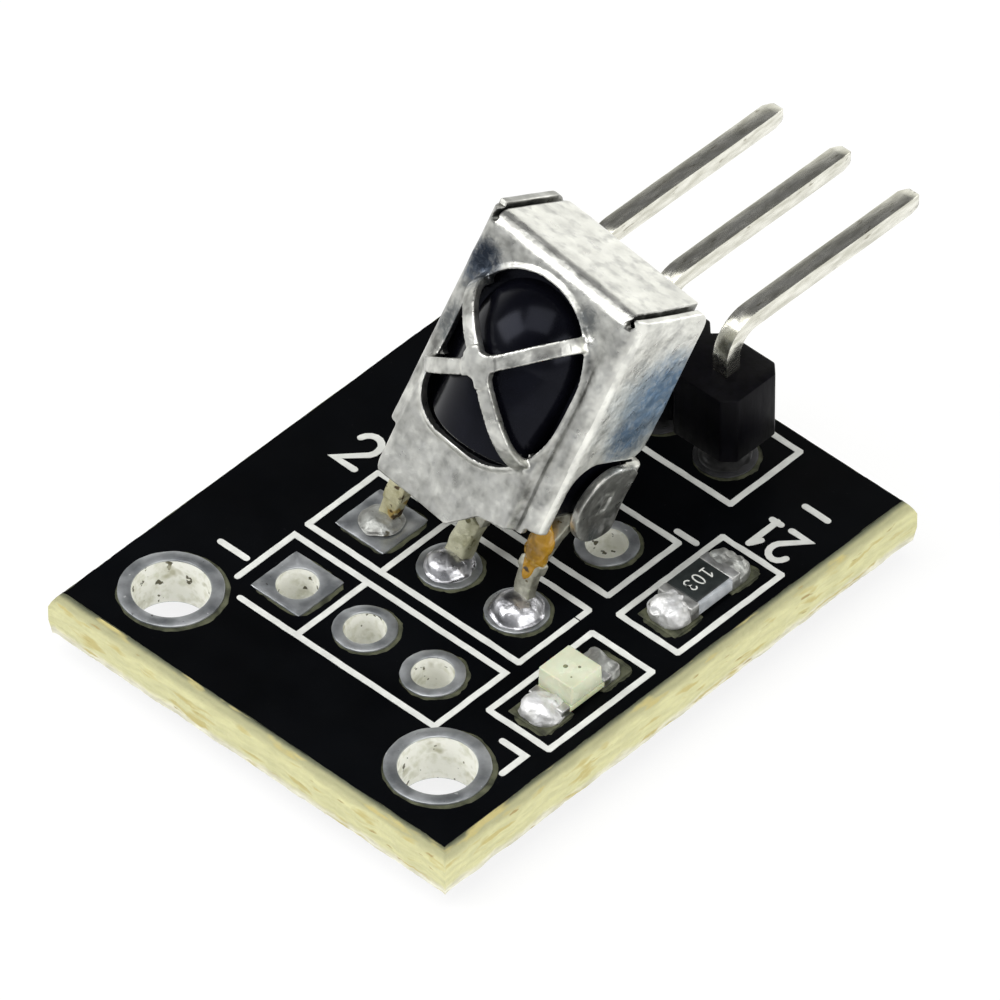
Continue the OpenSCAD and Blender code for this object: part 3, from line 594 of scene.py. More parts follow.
def part_finishes(colours):
    """Finishes of the receiver's resin and leads, the solder, the header and the chip parts."""
    resin, flux = Vector(colours.resin), Vector(colours.flux)
    finish("dark resin", resin * 0.7, resin * 1.4, (0.17, 0.23), grain=1.0, bump=0.05, bump_grain=5.0,
           Specular_Tint=(0.78, 0.82, 1.0, 1.0), Specular_IOR_Level=0.14)
    finish("bare silicon", (0.10, 0.11, 0.13), (0.16, 0.17, 0.2), (0.15, 0.25), grain=3.0, metal=0.3)
    finish("tinned lead", (0.34, 0.33, 0.26), (0.66, 0.65, 0.54), (0.28, 0.5), grain=2.6, metal=0.85,
           bump=0.6, bump_grain=6.0, bump_depth=0.03, specks=[((0.16, 0.12, 0.05), 4.0, 0.66, 0.05)])
    finish("yellowed tin", (0.34, 0.31, 0.16), (0.66, 0.63, 0.42), (0.25, 0.5), grain=2.4, metal=0.35,
           bump=0.7, bump_grain=4.5, bump_depth=0.04,
           specks=[((0.36, 0.25, 0.07), 2.2, 0.62, 0.05), ((0.06, 0.035, 0.012), 2.6, 0.58, 0.04)])
    finish("pale tin", (0.32, 0.31, 0.19), (0.64, 0.63, 0.46), (0.25, 0.5), grain=2.0, metal=0.4,
           bump=0.6, bump_grain=4.5, bump_depth=0.04, specks=[((0.14, 0.13, 0.06), 2.2, 0.66, 0.05)])
    finish("joint solder", (0.20, 0.20, 0.21), (0.72, 0.72, 0.74), (0.24, 0.40), grain=2.0, metal=0.94,
           bump=0.5, bump_grain=3.0, bump_depth=0.05)
    finish("shaded solder", (0.012, 0.012, 0.013), (0.05, 0.05, 0.05), (0.35, 0.5), grain=2.4, metal=0.4,
           bump=0.4, bump_grain=4.0)
    finish("dull solder", (0.30, 0.30, 0.28), (0.52, 0.53, 0.50), (0.38, 0.55), grain=2.4, metal=0.85,
           bump=0.6, bump_grain=4.0, bump_depth=0.05, specks=[((0.12, 0.11, 0.08), 3.0, 0.68, 0.05)])
    finish("bright solder", (0.55, 0.55, 0.53), (0.93, 0.93, 0.93), (0.3, 0.5), grain=2.0, metal=0.45,
           bump=0.7, bump_grain=4.0, bump_depth=0.05, specks=[((0.30, 0.30, 0.28), 3.6, 0.68, 0.05)])
    finish("flux", flux * 0.45, flux * 1.3, (0.10, 0.25), grain=1.6, levels=(0.3, 0.62), bump=0.4,
           bump_grain=3.0, bump_depth=0.05, Coat_Weight=0.3,
           specks=[((0.62, 0.42, 0.10), 1.8, 0.60, 0.08), ((0.05, 0.03, 0.01), 3.0, 0.66, 0.04)])
    finish("header plastic", (0.0008, 0.0007, 0.0013), (0.0022, 0.0019, 0.0036), (0.34, 0.50), grain=1.6,
           stretch=(2.0, 2.0, 0.4), bump=0.3, bump_grain=6.0, bump_stretch=(1.5, 1.5, 0.3),
           Specular_IOR_Level=0.085)
    finish("pin metal", (0.62, 0.61, 0.52), (0.90, 0.89, 0.80), (0.20, 0.30), grain=2.6,
           stretch=(2.0, 0.5, 2.0), metal=1.0, bump=0.2, bump_grain=6.0, bump_stretch=(2.0, 0.4, 2.0),
           specks=[((0.40, 0.38, 0.31), 4.0, 0.66, 0.08)])
    finish("chip ceramic", (0.36, 0.38, 0.40), (0.52, 0.54, 0.56), (0.5, 0.7), grain=3.0, bump=0.3,
           bump_grain=10.0)
    finish("dark coat", (0.010, 0.014, 0.013), (0.020, 0.025, 0.024), (0.28, 0.42), grain=4.0, bump=0.2,
           bump_grain=9.0)
    finish("chip metal", (0.42, 0.42, 0.40), (0.72, 0.72, 0.70), (0.28, 0.45), grain=3.0, metal=0.9,
           bump=0.5, bump_grain=5.0, bump_depth=0.03)
    finish("pale carrier", (0.56, 0.58, 0.34), (0.76, 0.78, 0.54), (0.4, 0.6), grain=2.6, bump=0.2,
           Subsurface_Weight=0.3, Subsurface_Scale=0.0003)
    finish("clear block", (0.60, 0.63, 0.45), (0.72, 0.75, 0.57), (0.2, 0.3), grain=1.2, bump=0.1,
           bump_grain=3.0, Subsurface_Weight=0.3, Subsurface_Scale=0.0003)
    finish("light die", (0.16, 0.17, 0.09), (0.30, 0.31, 0.17), (0.3, 0.5), grain=6.0)


class MODULE_OT_finishes(bpy.types.Operator):
    """Make the finishes of every piece"""
    bl_idname = "module.finishes"
    bl_label = "Finishes"

    def execute(self, context):
        grain_group()
        patch_group()
        layer_group()
        colours = context.scene.finish_colours
        board_finishes(colours)
        shield_finish(colours)
        part_finishes(colours)
        return {"FINISHED"}


VIEW_AZIMUTH = 43.308
VIEW_HEIGHT = 44.090
VIEW_ROLL = -0.171
VIEW_LENS = 633.39
# the camera's place along its own right, up and back, from the middle of the board's top
VIEW_PLACE = Vector((0.4453, 1.2814, 481.336))

# name, place in metres, width in metres and power in watts
LAMPS = (("key lamp", (-0.30, -0.34, 0.42), 0.42, 2.4), ("top lamp", (0.03, -0.06, 0.62), 0.46, 1.5),
         ("right lamp", (0.50, -0.06, 0.26), 0.36, 1.1), ("back lamp", (0.05, 0.60, 0.22), 0.26, 0.6))


def view_axes():
    """Right, up and back of the photograph's camera."""
    turn, rise, tip = (math.radians(a) for a in (VIEW_AZIMUTH, VIEW_HEIGHT, VIEW_ROLL))
    back = Vector((math.sin(turn) * math.cos(rise), -math.cos(turn) * math.cos(rise), math.sin(rise)))
    right = Vector((math.cos(turn), math.sin(turn), 0))
    up = back.cross(right)
    return right * math.cos(tip) + up * math.sin(tip), up * math.cos(tip) - right * math.sin(tip), back


def floor_finish():
    """A pale floor that stays near white behind the object, with a light shadow."""
    pale = bpy.data.materials.new("floor")
    pale.use_nodes = True
    tree = pale.node_tree
    nodes, link = tree.nodes, tree.links.new
    shader = nodes["Principled BSDF"]
    shader.inputs["Base Color"].default_value = (0.92, 0.92, 0.91, 1)
    shader.inputs["Roughness"].default_value = 0.9
    shader.inputs["Specular IOR Level"].default_value = 0.0
    shader.inputs["Emission Color"].default_value = (1, 1, 0.98, 1)
    shader.inputs["Emission Strength"].default_value = 0.22
    rays = nodes.new("ShaderNodeLightPath")
    seen = nodes.new("ShaderNodeMath")
    seen.operation = "ADD"
    seen_all = nodes.new("ShaderNodeMath")
    seen_all.operation = "ADD"
    share = nodes.new("ShaderNodeMath")
    share.operation = "MULTIPLY"
    share.use_clamp = True
    share.inputs[1].default_value = 0.80
    white = nodes.new("ShaderNodeEmission")
    both = nodes.new("ShaderNodeMixShader")
    link(rays.outputs["Is Camera Ray"], seen.inputs[0])
    link(rays.outputs["Is Glossy Ray"], seen.inputs[1])
    link(seen.outputs[0], seen_all.inputs[0])
    link(rays.outputs["Is Transmission Ray"], seen_all.inputs[1])
    link(seen_all.outputs[0], share.inputs[0])
    link(share.outputs[0], both.inputs[0])
    link(shader.outputs[0], both.inputs[1])
    link(white.outputs[0], both.inputs[2])
    link(both.outputs[0], nodes["Material Output"].inputs["Surface"])
    return pale


def studio_world():
    """A room that is white behind the object, grey in front of it and dark overhead."""
    world = bpy.data.worlds.new("studio")
    world.use_nodes = True
    tree = world.node_tree
    way = tree.nodes.new("ShaderNodeTexCoord")
    parts = tree.nodes.new("ShaderNodeSeparateXYZ")
    tree.links.new(way.outputs["Generated"], parts.inputs[0])
    shares = []
    for axis, low, high in (("Y", -0.75, 0.35), ("Z", 0.22, 0.60)):
        share = tree.nodes.new("ShaderNodeMapRange")
        share.interpolation_type = "SMOOTHSTEP"
        share.inputs["From Min"].default_value = low
        share.inputs["From Max"].default_value = high
        tree.links.new(parts.outputs[axis], share.inputs["Value"])
        shares.append(share.outputs[0])
    level = mixed(tree, shares[0], (0.42, 0.43, 0.45), (1.0, 1.0, 0.97))
    colour = mixed(tree, shares[1], level, (0.13, 0.13, 0.137))
    tree.links.new(colour, tree.nodes["Background"].inputs["Color"])
    return world


class MODULE_OT_stage(bpy.types.Operator):
    """Set up the floor, the soft light and the camera"""
    bl_idname = "module.stage"
    bl_label = "Stage"

    def execute(self, context):
        scene = context.scene
        right, up, back = view_axes()
        middle = Vector(((BOARD_LOW.x + BOARD_HIGH.x) / 2, (BOARD_LOW.y + BOARD_HIGH.y) / 2, TOP))
        place = (middle + right * VIEW_PLACE.x + up * VIEW_PLACE.y + back * VIEW_PLACE.z) * METRE
        camera = bpy.data.objects.new("camera", bpy.data.cameras.new("camera"))
        scene.collection.objects.link(camera)
        turn = Matrix((right, up, back)).transposed().to_4x4()
        camera.matrix_world = Matrix.Translation(place) @ turn
        camera.data.sensor_width = 36
        camera.data.lens = VIEW_LENS
        camera.data.clip_start = 0.01
        camera.data.clip_end = 20
        scene.camera = camera

        bpy.ops.object.select_all(action="DESELECT")
        bpy.ops.mesh.primitive_plane_add(size=6, location=(0, 0, CAD_BOX[0][2]))
        floor = added("floor")
        floor.data.materials.append(floor_finish())

        for name, place, size, power in LAMPS:
            lamp = bpy.data.objects.new(name, bpy.data.lights.new(name, "AREA"))
            lamp.data.energy = power
            lamp.data.size = size
            lamp.location = place
            lamp.rotation_euler = Vector(place).to_track_quat("Z", "Y").to_euler()
            scene.collection.objects.link(lamp)
        scene.world = studio_world()
        scene.view_settings.view_transform = "Standard"
        return {"FINISHED"}


def ragged_ring(centre, radius, square, count=64, rag=0.03, seed=0.0, corner=0.18):
    """Points round an uneven opening, round or square."""
    points = []
    for k in range(count):
        angle = 2 * math.pi * (k + 0.5) / count
        way = Vector((math.cos(angle), math.sin(angle)))
        reach = radius
        if square:
            reach = min(radius / max(abs(way.x), abs(way.y)), radius * math.sqrt(2) - corner)
        reach += rag * noise.noise(Vector((way.x * 3.1, way.y * 3.1, seed)))
        reach += rag * 0.6 * noise.noise(Vector((way.x * 9.0, way.y * 9.0, seed + 5)))
        points.append((centre[0] + reach * way.x, centre[1] + reach * way.y))
    return points


def hole_places():
    """Every plated hole: node, centre, bore radius, pad radius, and whether its pad is square."""
    places = []
    for side in ("left", "right"):
        low, high = box_mm("mount_ring_" + side)
        places.append(("mount_ring_" + side, MOUNTS[side], BORES["mount"], (high.x - low.x) / 2, False))
    for row in ROWS:
        for side in SIDES:
            node = f"{row}_hole_{side}"
            low, high = box_mm(node)
            bore = BORES.get(row, ROW_BORE)
            places.append((node, middle_of(node), bore, (high.x - low.x) / 2, side == "left"))
    return places


def ridged_outline(low, high, inset, step, rag, seed):
    """Points along a rectangle, a little uneven, as a broken edge is."""
    x0, y0, x1, y1 = low.x + inset, low.y + inset, high.x - inset, high.y - inset
    corners = [Vector(c) for c in ((x0, y0), (x1, y0), (x1, y1), (x0, y1))]
    points = []
    for k in range(4):
        a, b = corners[k], corners[(k + 1) % 4]
        count = max(1, round((b - a).length / step))
        along = (b - a).normalized()
        inward = Vector((-along.y, along.x))
        for i in range(count):
            point = a.lerp(b, i / count)
            dent = 0.0
            if i:
                dent = rag * (0.5 + noise.noise(Vector((point.x * 1.3, point.y * 1.3, seed))))
                dent += rag * 0.9 * abs(noise.noise(Vector((point.x * 6, point.y * 6, seed + 3))))
            points.append(tuple(point + inward * max(0.0, dent)))
    return points


def edge_heights(sizes):
    """Height, inset and raggedness of each level of the broken and scored edge."""
    foot = (TOP - sizes.band) / 2
    head = foot + sizes.band
    return [(0.0, sizes.groove * 0.25, 0.04), (foot * 0.45, sizes.groove * 0.15, 0.06),
            (foot, 0.0, 0.06), (foot + sizes.band * 0.5, 0.0, 0.07), (head, 0.0, 0.05),
            (head + foot * 0.35, sizes.groove * 0.25, 0.04), (head + foot * 0.7, sizes.groove * 0.6, 0.015),
            (TOP, sizes.groove, 0.012)]


class MODULE_OT_board(bpy.types.Operator):
    """Model the laminate with its scored and broken edges, and the solder mask on both faces"""
    bl_idname = "module.board"
    bl_label = "Board"

    def execute(self, context):
        sizes = context.scene.board_sizes
        low, high = BOARD_LOW, BOARD_HIGH
        mid = (low + high) / 2
        step = 0.11
        base = ridged_outline(low, high, 0.0, step, 0.0, 0)
        rows = []
        for index, (z, inset, rag) in enumerate(edge_heights(sizes)):
            uneven = ridged_outline(low, high, 0.0, step, rag, index * 0.35)
            narrow_x = 1 - 2 * inset / (high.x - low.x)
            narrow_y = 1 - 2 * inset / (high.y - low.y)
            rows.append([(mid.x + (x - mid.x) * narrow_x, mid.y + (y - mid.y) * narrow_y, z)
                         for x, y in uneven[:len(base)]])
        board = drawn_through("laminate", rows)
        holes = hole_places()
        for node, at, bore, pad, square in holes:
            combine(board, rod("drill", bore + 0.02, -1, TOP + 1, at))
        settle(board, ["laminate", "bare ground"], ["circuit_board"], smooth=0.5)
        for face in board.data.polygons:
            face.material_index = 1 if abs(face.normal.z) > 0.99 else 0

        for name, below, above in (("solder_mask_top", TOP, TOP + sizes.mask),
                                   ("solder_mask_bottom", -sizes.mask, 0.0)):
            outline = ridged_outline(low, high, sizes.groove + 0.01, 0.12, 0.03, below)
            sheet = slab(name, outline, below, above)
            for number, (node, at, bore, pad, square) in enumerate(holes):
                gap = 0.07 if node.startswith("mount") else 0.045
                centre = (at.x + sizes.mask_slip, at.y - 0.01)
                opening = ragged_ring(centre, pad + gap, square, rag=0.05, seed=number * 2.3)
                combine(sheet, slab("opening", opening, -1, TOP + 1))
            if below > 0:
                for mid in (LIGHT_MID, RESISTOR_MID):
                    for end in (-1, 1):
                        centre = (mid.x + 0.07, mid.y + end * 1.15)
                        opening = ragged_ring(centre, 0.70, True, rag=0.05, seed=mid.y + end)
                        combine(sheet, slab("opening", opening, -1, TOP + 1))
            settle(sheet, "solder mask", smooth=0.5)
        return {"FINISHED"}


class MODULE_OT_holes(bpy.types.Operator):
    """Model the plated hole linings with their pads"""
    bl_idname = "module.holes"
    bl_label = "Plated holes"

    def execute(self, context):
        roll, lip = 0.035, 0.03
        for number, (node, at, bore, pad, square) in enumerate(hole_places()):
            outline = [(bore, -PLATE + roll), (bore + roll * 0.3, -PLATE + roll * 0.3), (bore + roll, -PLATE),
                       (pad - lip, -PLATE), (pad, -PLATE + lip), (pad, 0.0), (bore + PLATE, 0.0),
                       (bore + PLATE, TOP), (pad, TOP), (pad, PAD - lip), (pad - 0.01, PAD - 0.01),
                       (pad - lip, PAD), (bore + roll, PAD), (bore + roll * 0.3, PAD - roll * 0.3),
                       (bore, PAD - roll), (bore, -PLATE + roll)]
            lining = turned(node + "_lining", outline, steps=72)
            for v in lining.data.vertices:
                reach = math.hypot(v.co.x, v.co.y)
                if reach > pad - 0.05:
                    angle = math.atan2(v.co.y, v.co.x)
                    uneven = noise.noise(Vector((math.cos(angle) * 4, math.sin(angle) * 4, number)))
                    if square:
                        along = max(abs(math.cos(angle)), abs(math.sin(angle)))
                        reach = min(reach / along, pad * 1.38) - 0.015 * (1 + uneven)
                    else:
                        reach -= 0.018 * (1 + uneven)
                    v.co.x, v.co.y = reach * math.cos(angle), reach * math.sin(angle)
            lining.data.transform(Matrix.Translation((at.x, at.y, 0)))
            plate = "shaded plating" if node.startswith("header") else "pad plating"
            settle(lining, [plate, "bore plating"], [node], smooth=0.5)
            for face in lining.data.polygons:
                centre = face.center / METRE
                inside = math.hypot(centre.x - at.x, centre.y - at.y) < bore + 0.004
                face.material_index = 1 if inside else 0
        return {"FINISHED"}


def stroke(points, width, low, high):
    """A flat printed stroke along a path, with round ends."""
    path = [Vector(p) for p in points]
    half = width / 2
    left, right = [], []
    for k, point in enumerate(path):
        ahead = path[min(k + 1, len(path) - 1)] - point
        behind = point - path[max(k - 1, 0)]
        way = (ahead.normalized() + behind.normalized()).normalized()
        side = Vector((-way.y, way.x))
        bend = 1.0
        if ahead.length and behind.length:
            bend = 1 / max(0.5, side.dot(Vector((-ahead.normalized().y, ahead.normalized().x))))
        rag = 0.012 * noise.noise(Vector((point.x * 4, point.y * 4, 1)))
        left.append(point + side * (half * bend + rag))
        right.append(point - side * (half * bend - rag))

    def cap(centre, way):
        base = math.atan2(way.y, way.x)
        turns = [base + math.radians(degrees) for degrees in (50, 20, -20, -50)]
        return [centre + Vector((math.cos(turn), math.sin(turn))) * half for turn in turns]

    outline = left + cap(path[-1], path[-1] - path[-2]) + right[::-1] + cap(path[0], path[0] - path[1])
    return slab("stroke", [tuple(p) for p in outline], low, high)


def curved(centre, radius, start, end, steps=10):
    """Points along an arc, angles in degrees."""
    turns = [math.radians(start + (end - start) * k / steps) for k in range(steps + 1)]
    return [(centre[0] + radius[0] * math.cos(t), centre[1] + radius[1] * math.sin(t)) for t in turns]


def split_path(a, b, step=0.35):
    """Points along a straight line."""
    a, b = Vector(a), Vector(b)
    count = max(1, round((b - a).length / step))
    return [tuple(a.lerp(b, k / count)) for k in range(count + 1)]


def rectangle_path(low, high, grow, corner, seed):
    """Points round a rectangle grown by a margin, with cut corners and a slightly uneven line."""
    (x0, y0), (x1, y1) = (low[0] - grow, low[1] - grow), (high[0] + grow, high[1] + grow)
    corners = [(x0, y0 + corner), (x0 + corner, y0), (x1 - corner, y0), (x1, y0 + corner),
               (x1, y1 - corner), (x1 - corner, y1), (x0 + corner, y1), (x0, y1 - corner)]
    points = []
    for k, a in enumerate(corners):
        for x, y in split_path(a, corners[(k + 1) % len(corners)])[:-1]:
            shift = noise.noise_vector(Vector((x * 3, y * 3, seed))) * 0.02
            points.append((x + shift.x, y + shift.y))
    return points


def frame_ring(low, high, width, floor, top):
    """A closed printed frame round a rectangle given between line centres."""
    ring = slab("ring", rectangle_path(low, high, width / 2, 0.07, 1.0), floor, top)
    combine(ring, slab("room", rectangle_path(low, high, -width / 2, 0.02, 4.0), floor - 1, top + 1))
    return ring


DIGITS = {
    "0": [curved((0.5, 0.5), (0.42, 0.5), 90, 450, 20)],
    "1": [[(0.5, 0.98), (0.5, 0.02)], [(0.14, 0.72), (0.44, 0.94)], [(0.15, 0.04), (0.85, 0.04)]],
    "2": [curved((0.5, 0.70), (0.40, 0.30), 165, -35, 9) + [(0.10, 0.02), (0.92, 0.02)]],
    "3": [curved((0.48, 0.74), (0.36, 0.26), 155, -90, 9)[:-1] + curved((0.46, 0.25), (0.42, 0.27), 88, -155, 9)],
}


def digit(sign, low, high, turn, width, floor, top):
    """One printed digit inside a box from its low to its high corner, turned by quarter turns."""
    low, high = Vector(low), Vector(high)
    mid, size = (low + high) / 2, high - low
    if turn % 2:
        size = Vector((size.y, size.x))
    whole = None
    for path in DIGITS[sign]:
        placed = []
        for x, y in path:
            local = Vector(((x - 0.5) * size.x, (y - 0.5) * size.y))
            local.rotate(Matrix.Rotation(math.radians(90 * turn), 2))
            placed.append(tuple(mid + local))
        piece = stroke(placed, width, floor, top)
        if whole:
            combine(whole, piece, "UNION")
        else:
            whole = piece
    return whole


# the print, in millimetres from the middle of the board's top
PRINT_MIDDLE = Vector((0.095, 7.04))
FRAMES = (((-4.11, -2.65), (3.80, 0.15)), ((-4.11, 0.90), (3.80, 3.73)), ((-4.11, 5.83), (3.80, 8.66)),
          ((4.51, 0.575), (6.70, 4.74)), ((4.46, -4.54), (6.68, -0.44)))
FRONT_FRAME = ((-4.11, -6.0), (3.80, -3.19))
DASHES = (((-5.40, -4.77), (-4.42, -4.77)), ((3.46, 4.05), (4.16, 4.05)), ((5.36, 7.16), (6.20, 7.16)))
# sign, low corner, high corner, quarter turns and line width
NUMBERS = (("2", (-5.52, -0.25), (-4.6, 1.12), 0, 0.21), ("2", (5.68, 5.02), (6.45, 6.22), 2, 0.2),
           ("1", (4.98, 5.02), (5.44, 6.22), 2, 0.2))


class MODULE_OT_print(bpy.types.Operator):
    """Print the frames, dashes and plain numbers on the board"""
    bl_idname = "module.print"
    bl_label = "Print"

    def execute(self, context):
        sizes = context.scene.board_sizes
        floor, top = TOP + sizes.mask * 0.5, TOP + sizes.ink
        line = sizes.line
        mid = PRINT_MIDDLE

        def draw(points, width=line):
            return stroke([tuple(Vector(p) + mid) for p in points], width, floor, top)

        marks = [frame_ring(Vector(a) + mid, Vector(b) + mid, line, floor, top) for a, b in FRAMES]
        receiver_frame = marks[0]
        combine(receiver_frame, draw(split_path((-1.37, -2.6), (-1.37, 0.1))), "UNION")
        crack = Vector((3.80, -0.32)) + mid
        combine(receiver_frame, block("crack", (crack.x - 0.2, crack.y - 0.03, floor - 1),
                                      (crack.x + 0.2, crack.y + 0.02, top + 1)))
        # the mounting rings cut off the lower corners of the front frame
        (x0, y0), (x1, y1) = FRONT_FRAME
        open_frame = draw(split_path((x0, y0 + 0.55), (x0, y1)) + split_path((x0, y1), (x1, y1))[1:]
                          + split_path((x1, y1), (x1, y0))[1:] + split_path((x1, y0), (x0 + 0.62, y0))[1:])
        divider = draw(split_path((-1.36, y0 + 0.06), (-1.36, y1 - 0.06)))
        combine(divider, open_frame, "UNION")
        marks.append(divider)
        for a, b in DASHES:
            marks.append(draw(split_path(a, b), 0.2))
        marks.append(draw([(5.53, -5.15), (6.0, -5.15), (6.38, -5.15), (6.38, -5.6), (6.38, -6.06)], 0.2))
        for sign, low, high, turn, width in NUMBERS:
            marks.append(digit(sign, Vector(low) + mid, Vector(high) + mid, turn, width, floor, top))
        settle(joined("printed_marks", marks), "ink", ["printed_frames"], smooth=0.5)
        return {"FINISHED"}


def leaning_copy(node):
    """A copy of a CAD node's mesh in the receiver's own upright frame, with its points merged."""
    bpy.ops.object.select_all(action="DESELECT")
    piece = bpy.data.objects.new(node + "_work", NODES[node].data.copy())
    bpy.context.scene.collection.objects.link(piece)
    piece.data.transform(Matrix.Scale(1 / METRE, 4))
    piece.data.transform(receiver_matrix().inverted())
    with editing(piece, "VERT"):
        bpy.ops.mesh.select_all(action="SELECT")
        bpy.ops.mesh.remove_doubles(threshold=0.001)
    return piece


def beyond_opening(x, z):
    """Distance outside the lens opening's outline, negative inside it."""
    if z > OPENING_HIGH:
        return math.hypot(x - OPENING_X, z - OPENING_HIGH) - OPENING_R
    (left_x, left_z, left_r), (right_x, right_z, right_r) = OPENING_CORNERS
    if x < left_x and z < left_z:
        return math.hypot(x - left_x, z - left_z) - left_r
    if x > right_x and z < right_z:
        return math.hypot(x - right_x, z - right_z) - right_r
    return max(abs(x - OPENING_X) - OPENING_R, OPENING_FOOT - z)


def bar_ends():
    """Where the crossing bars meet the front plate."""
    return [(CROSS[0] + reach * math.cos(math.radians(turn)), CROSS[1] + reach * math.sin(math.radians(turn)))
            for turn, reach in BARS]


CREASE_LEFT, CREASE_RIGHT = -2.45, 2.18


def press_sheet(point, bulge, ends):
    """A point of the shield moved as the press and the handling left it."""
    x, y, z = point
    shift = Vector((0, 0, 0))
    if y < FRONT + 0.32:
        across = smooth_step(CREASE_LEFT - 0.12, CREASE_LEFT + 0.12, x)
        across *= 1 - smooth_step(CREASE_RIGHT - 0.14, CREASE_RIGHT + 0.06, x)
        down = 1 - smooth_step(4.4, 6.6, z)
        shift.y -= bulge * across * down
        shift.y += 0.08 * hill(x, CREASE_RIGHT, 0.13) * (1 - smooth_step(7.0, 9.0, z))
        edge = beyond_opening(x, z)
        if y > FRONT - 0.1 and 0 <= edge < 0.2:
            shift.y -= 0.06 * smooth_step(0.2, 0.02, edge)
        for end_x, end_z in ends:
            away = math.hypot(x - end_x, z - end_z)
            if away < 0.4 and y > FRONT - 0.5:
                shift.y -= 0.07 * hill(away, 0, 0.16)
    if x < -2.57 and z > SHIELD_TOP - 0.4 and y > FRONT + 0.5:
        shift.z += 0.13
        shift.x -= 0.03
    away = math.hypot(y - EAR_Y, z - EAR_Z)
    if x > EAR_X - 0.3 and away < EAR_R + 0.05:
        shift.x += 0.05 * smooth_step(0.7, EAR_R, away) - 0.04 * hill(away, 0.5, 0.25)
    return shift


def sheet_light_and_mottle(point, ends):
    """Painted light and mottling of a point of the shield, 0 dull and dark, 1 bright: painted highlights and painted
    shade where light falls on the folds, rim, bars, ear and faces, over random mottling of the sheet.
    """
    x, y, z = point
    light_and_mottle = 0.36
    # painted shade: the top corners of the side folds are darkest
    if z > SHIELD_TOP - 0.45 and hill(abs(x), 2.62, 0.09) > 0.3:
        return 0.0
    if y < FRONT + 0.2:
        edge = beyond_opening(x, z)
        # painted highlight along the top fold, painted shade in a band below it, lighter towards the upper right
        light_and_mottle += 0.22 * smooth_step(SHIELD_TOP - 0.75, SHIELD_TOP - 0.3, z)
        light_and_mottle -= 0.16 * hill(z, SHIELD_TOP - 1.0, 0.3)
        light_and_mottle += 0.16 * smooth_step(6.6, 8.2, z) * smooth_step(0.6, 2.0, x)
        # painted highlight right of the crease, painted shade in the crease, darker at the upper left
        light_and_mottle += 0.16 * smooth_step(CREASE_RIGHT + 0.12, CREASE_RIGHT + 0.45, x)
        light_and_mottle -= 0.34 * hill(x, CREASE_RIGHT, 0.2) * (1 - smooth_step(7.4, 9.2, z))
        light_and_mottle -= 0.12 * (1 - smooth_step(-2.6, -1.6, x)) * smooth_step(5.0, 6.4, z)
        # painted highlight on the rolled rim of the opening, painted shade just outside it; the bars a little lighter
        if 0 <= edge:
            light_and_mottle += 0.42 * hill(edge, 0.04, 0.07)
            light_and_mottle -= 0.10 * hill(edge, 0.28, 0.12)
        elif y < FRONT - 0.12:
            light_and_mottle += 0.10
        # painted highlights where the bars meet the plate; lighter towards the bottom
        for end_x, end_z in ends:
            light_and_mottle += 0.45 * hill(math.hypot(x - end_x, z - end_z), 0, 0.16)
        light_and_mottle += 0.12 * (1 - smooth_step(3.4, 5.2, z))
    elif x > HALF - 0.1:
        # painted shade in the ear's dimple, a painted highlight on its rim that is brighter to the front, and a
        # painted highlight round the pressed mark
        away = math.hypot(y - EAR_Y, z - EAR_Z)
        if x > EAR_X - 0.1 and away < EAR_R + 0.1:
            light_and_mottle += -0.40 + 0.60 * smooth_step(0.85, EAR_R, away) * (0.6 - 0.5 * (y - EAR_Y) / EAR_R)
            mark = max(abs(y - EAR_Y) / 0.16, abs(z - EAR_Z) / 0.27)
            light_and_mottle += 0.6 * hill(mark, 1.15, 0.25)
        else:
            # painted light: the rest of the right side is lighter
            light_and_mottle += 0.62
    elif x < -2.6 and z > SHIELD_TOP - 0.25:
        light_and_mottle -= 0.10
    elif z > SHIELD_TOP - 0.14:
        # painted light: the top plate is lighter
        light_and_mottle += 0.62
    # random mottling of the sheet, not light
    if y < FRONT + 0.2 or x > EAR_X - 0.1:
        place = Vector(point)
        light_and_mottle += 0.24 * noise.noise(place / 0.9) + 0.30 * noise.noise(place / 0.33)
        light_and_mottle += 0.24 * noise.noise(place / 0.13)
    return min(1.0, max(0.0, light_and_mottle))


class MODULE_OT_shield(bpy.types.Operator):
    """Shape the folded shield: soft folds, a lower front that bulges, a rolled rim and small dents"""
    bl_idname = "module.shield"
    bl_label = "Receiver shield"

    def execute(self, context):
        pose = context.scene.receiver_pose
        ends = bar_ends()
        sheet = leaning_copy("receiver_shield")
        sheet.name = "shield_sheet"
        finish_with(sheet, "REMESH", mode="VOXEL", voxel_size=pose.cell, adaptivity=0.0)
        finish_with(sheet, "SMOOTH", factor=0.5, iterations=2)
        for v in sheet.data.vertices:
            at = v.co.copy()
            v.co += press_sheet(at, pose.bulge, ends)
            v.co += wobble(at, 1.5, 0.024, 2.0) + wobble(at, 0.45, 0.008, 7.0)
        finish_with(sheet, "DECIMATE", ratio=0.4)
        # each point's painted highlights, painted shade and mottling
        paint = sheet.data.attributes.new("light_and_mottle", "FLOAT", "POINT")
        for v, value in zip(sheet.data.vertices, paint.data):
            value.value = sheet_light_and_mottle(v.co, ends)
        settle(sheet, "tinned sheet", ["receiver_shield"], receiver_matrix(), smooth=0.7)
        return {"FINISHED"}


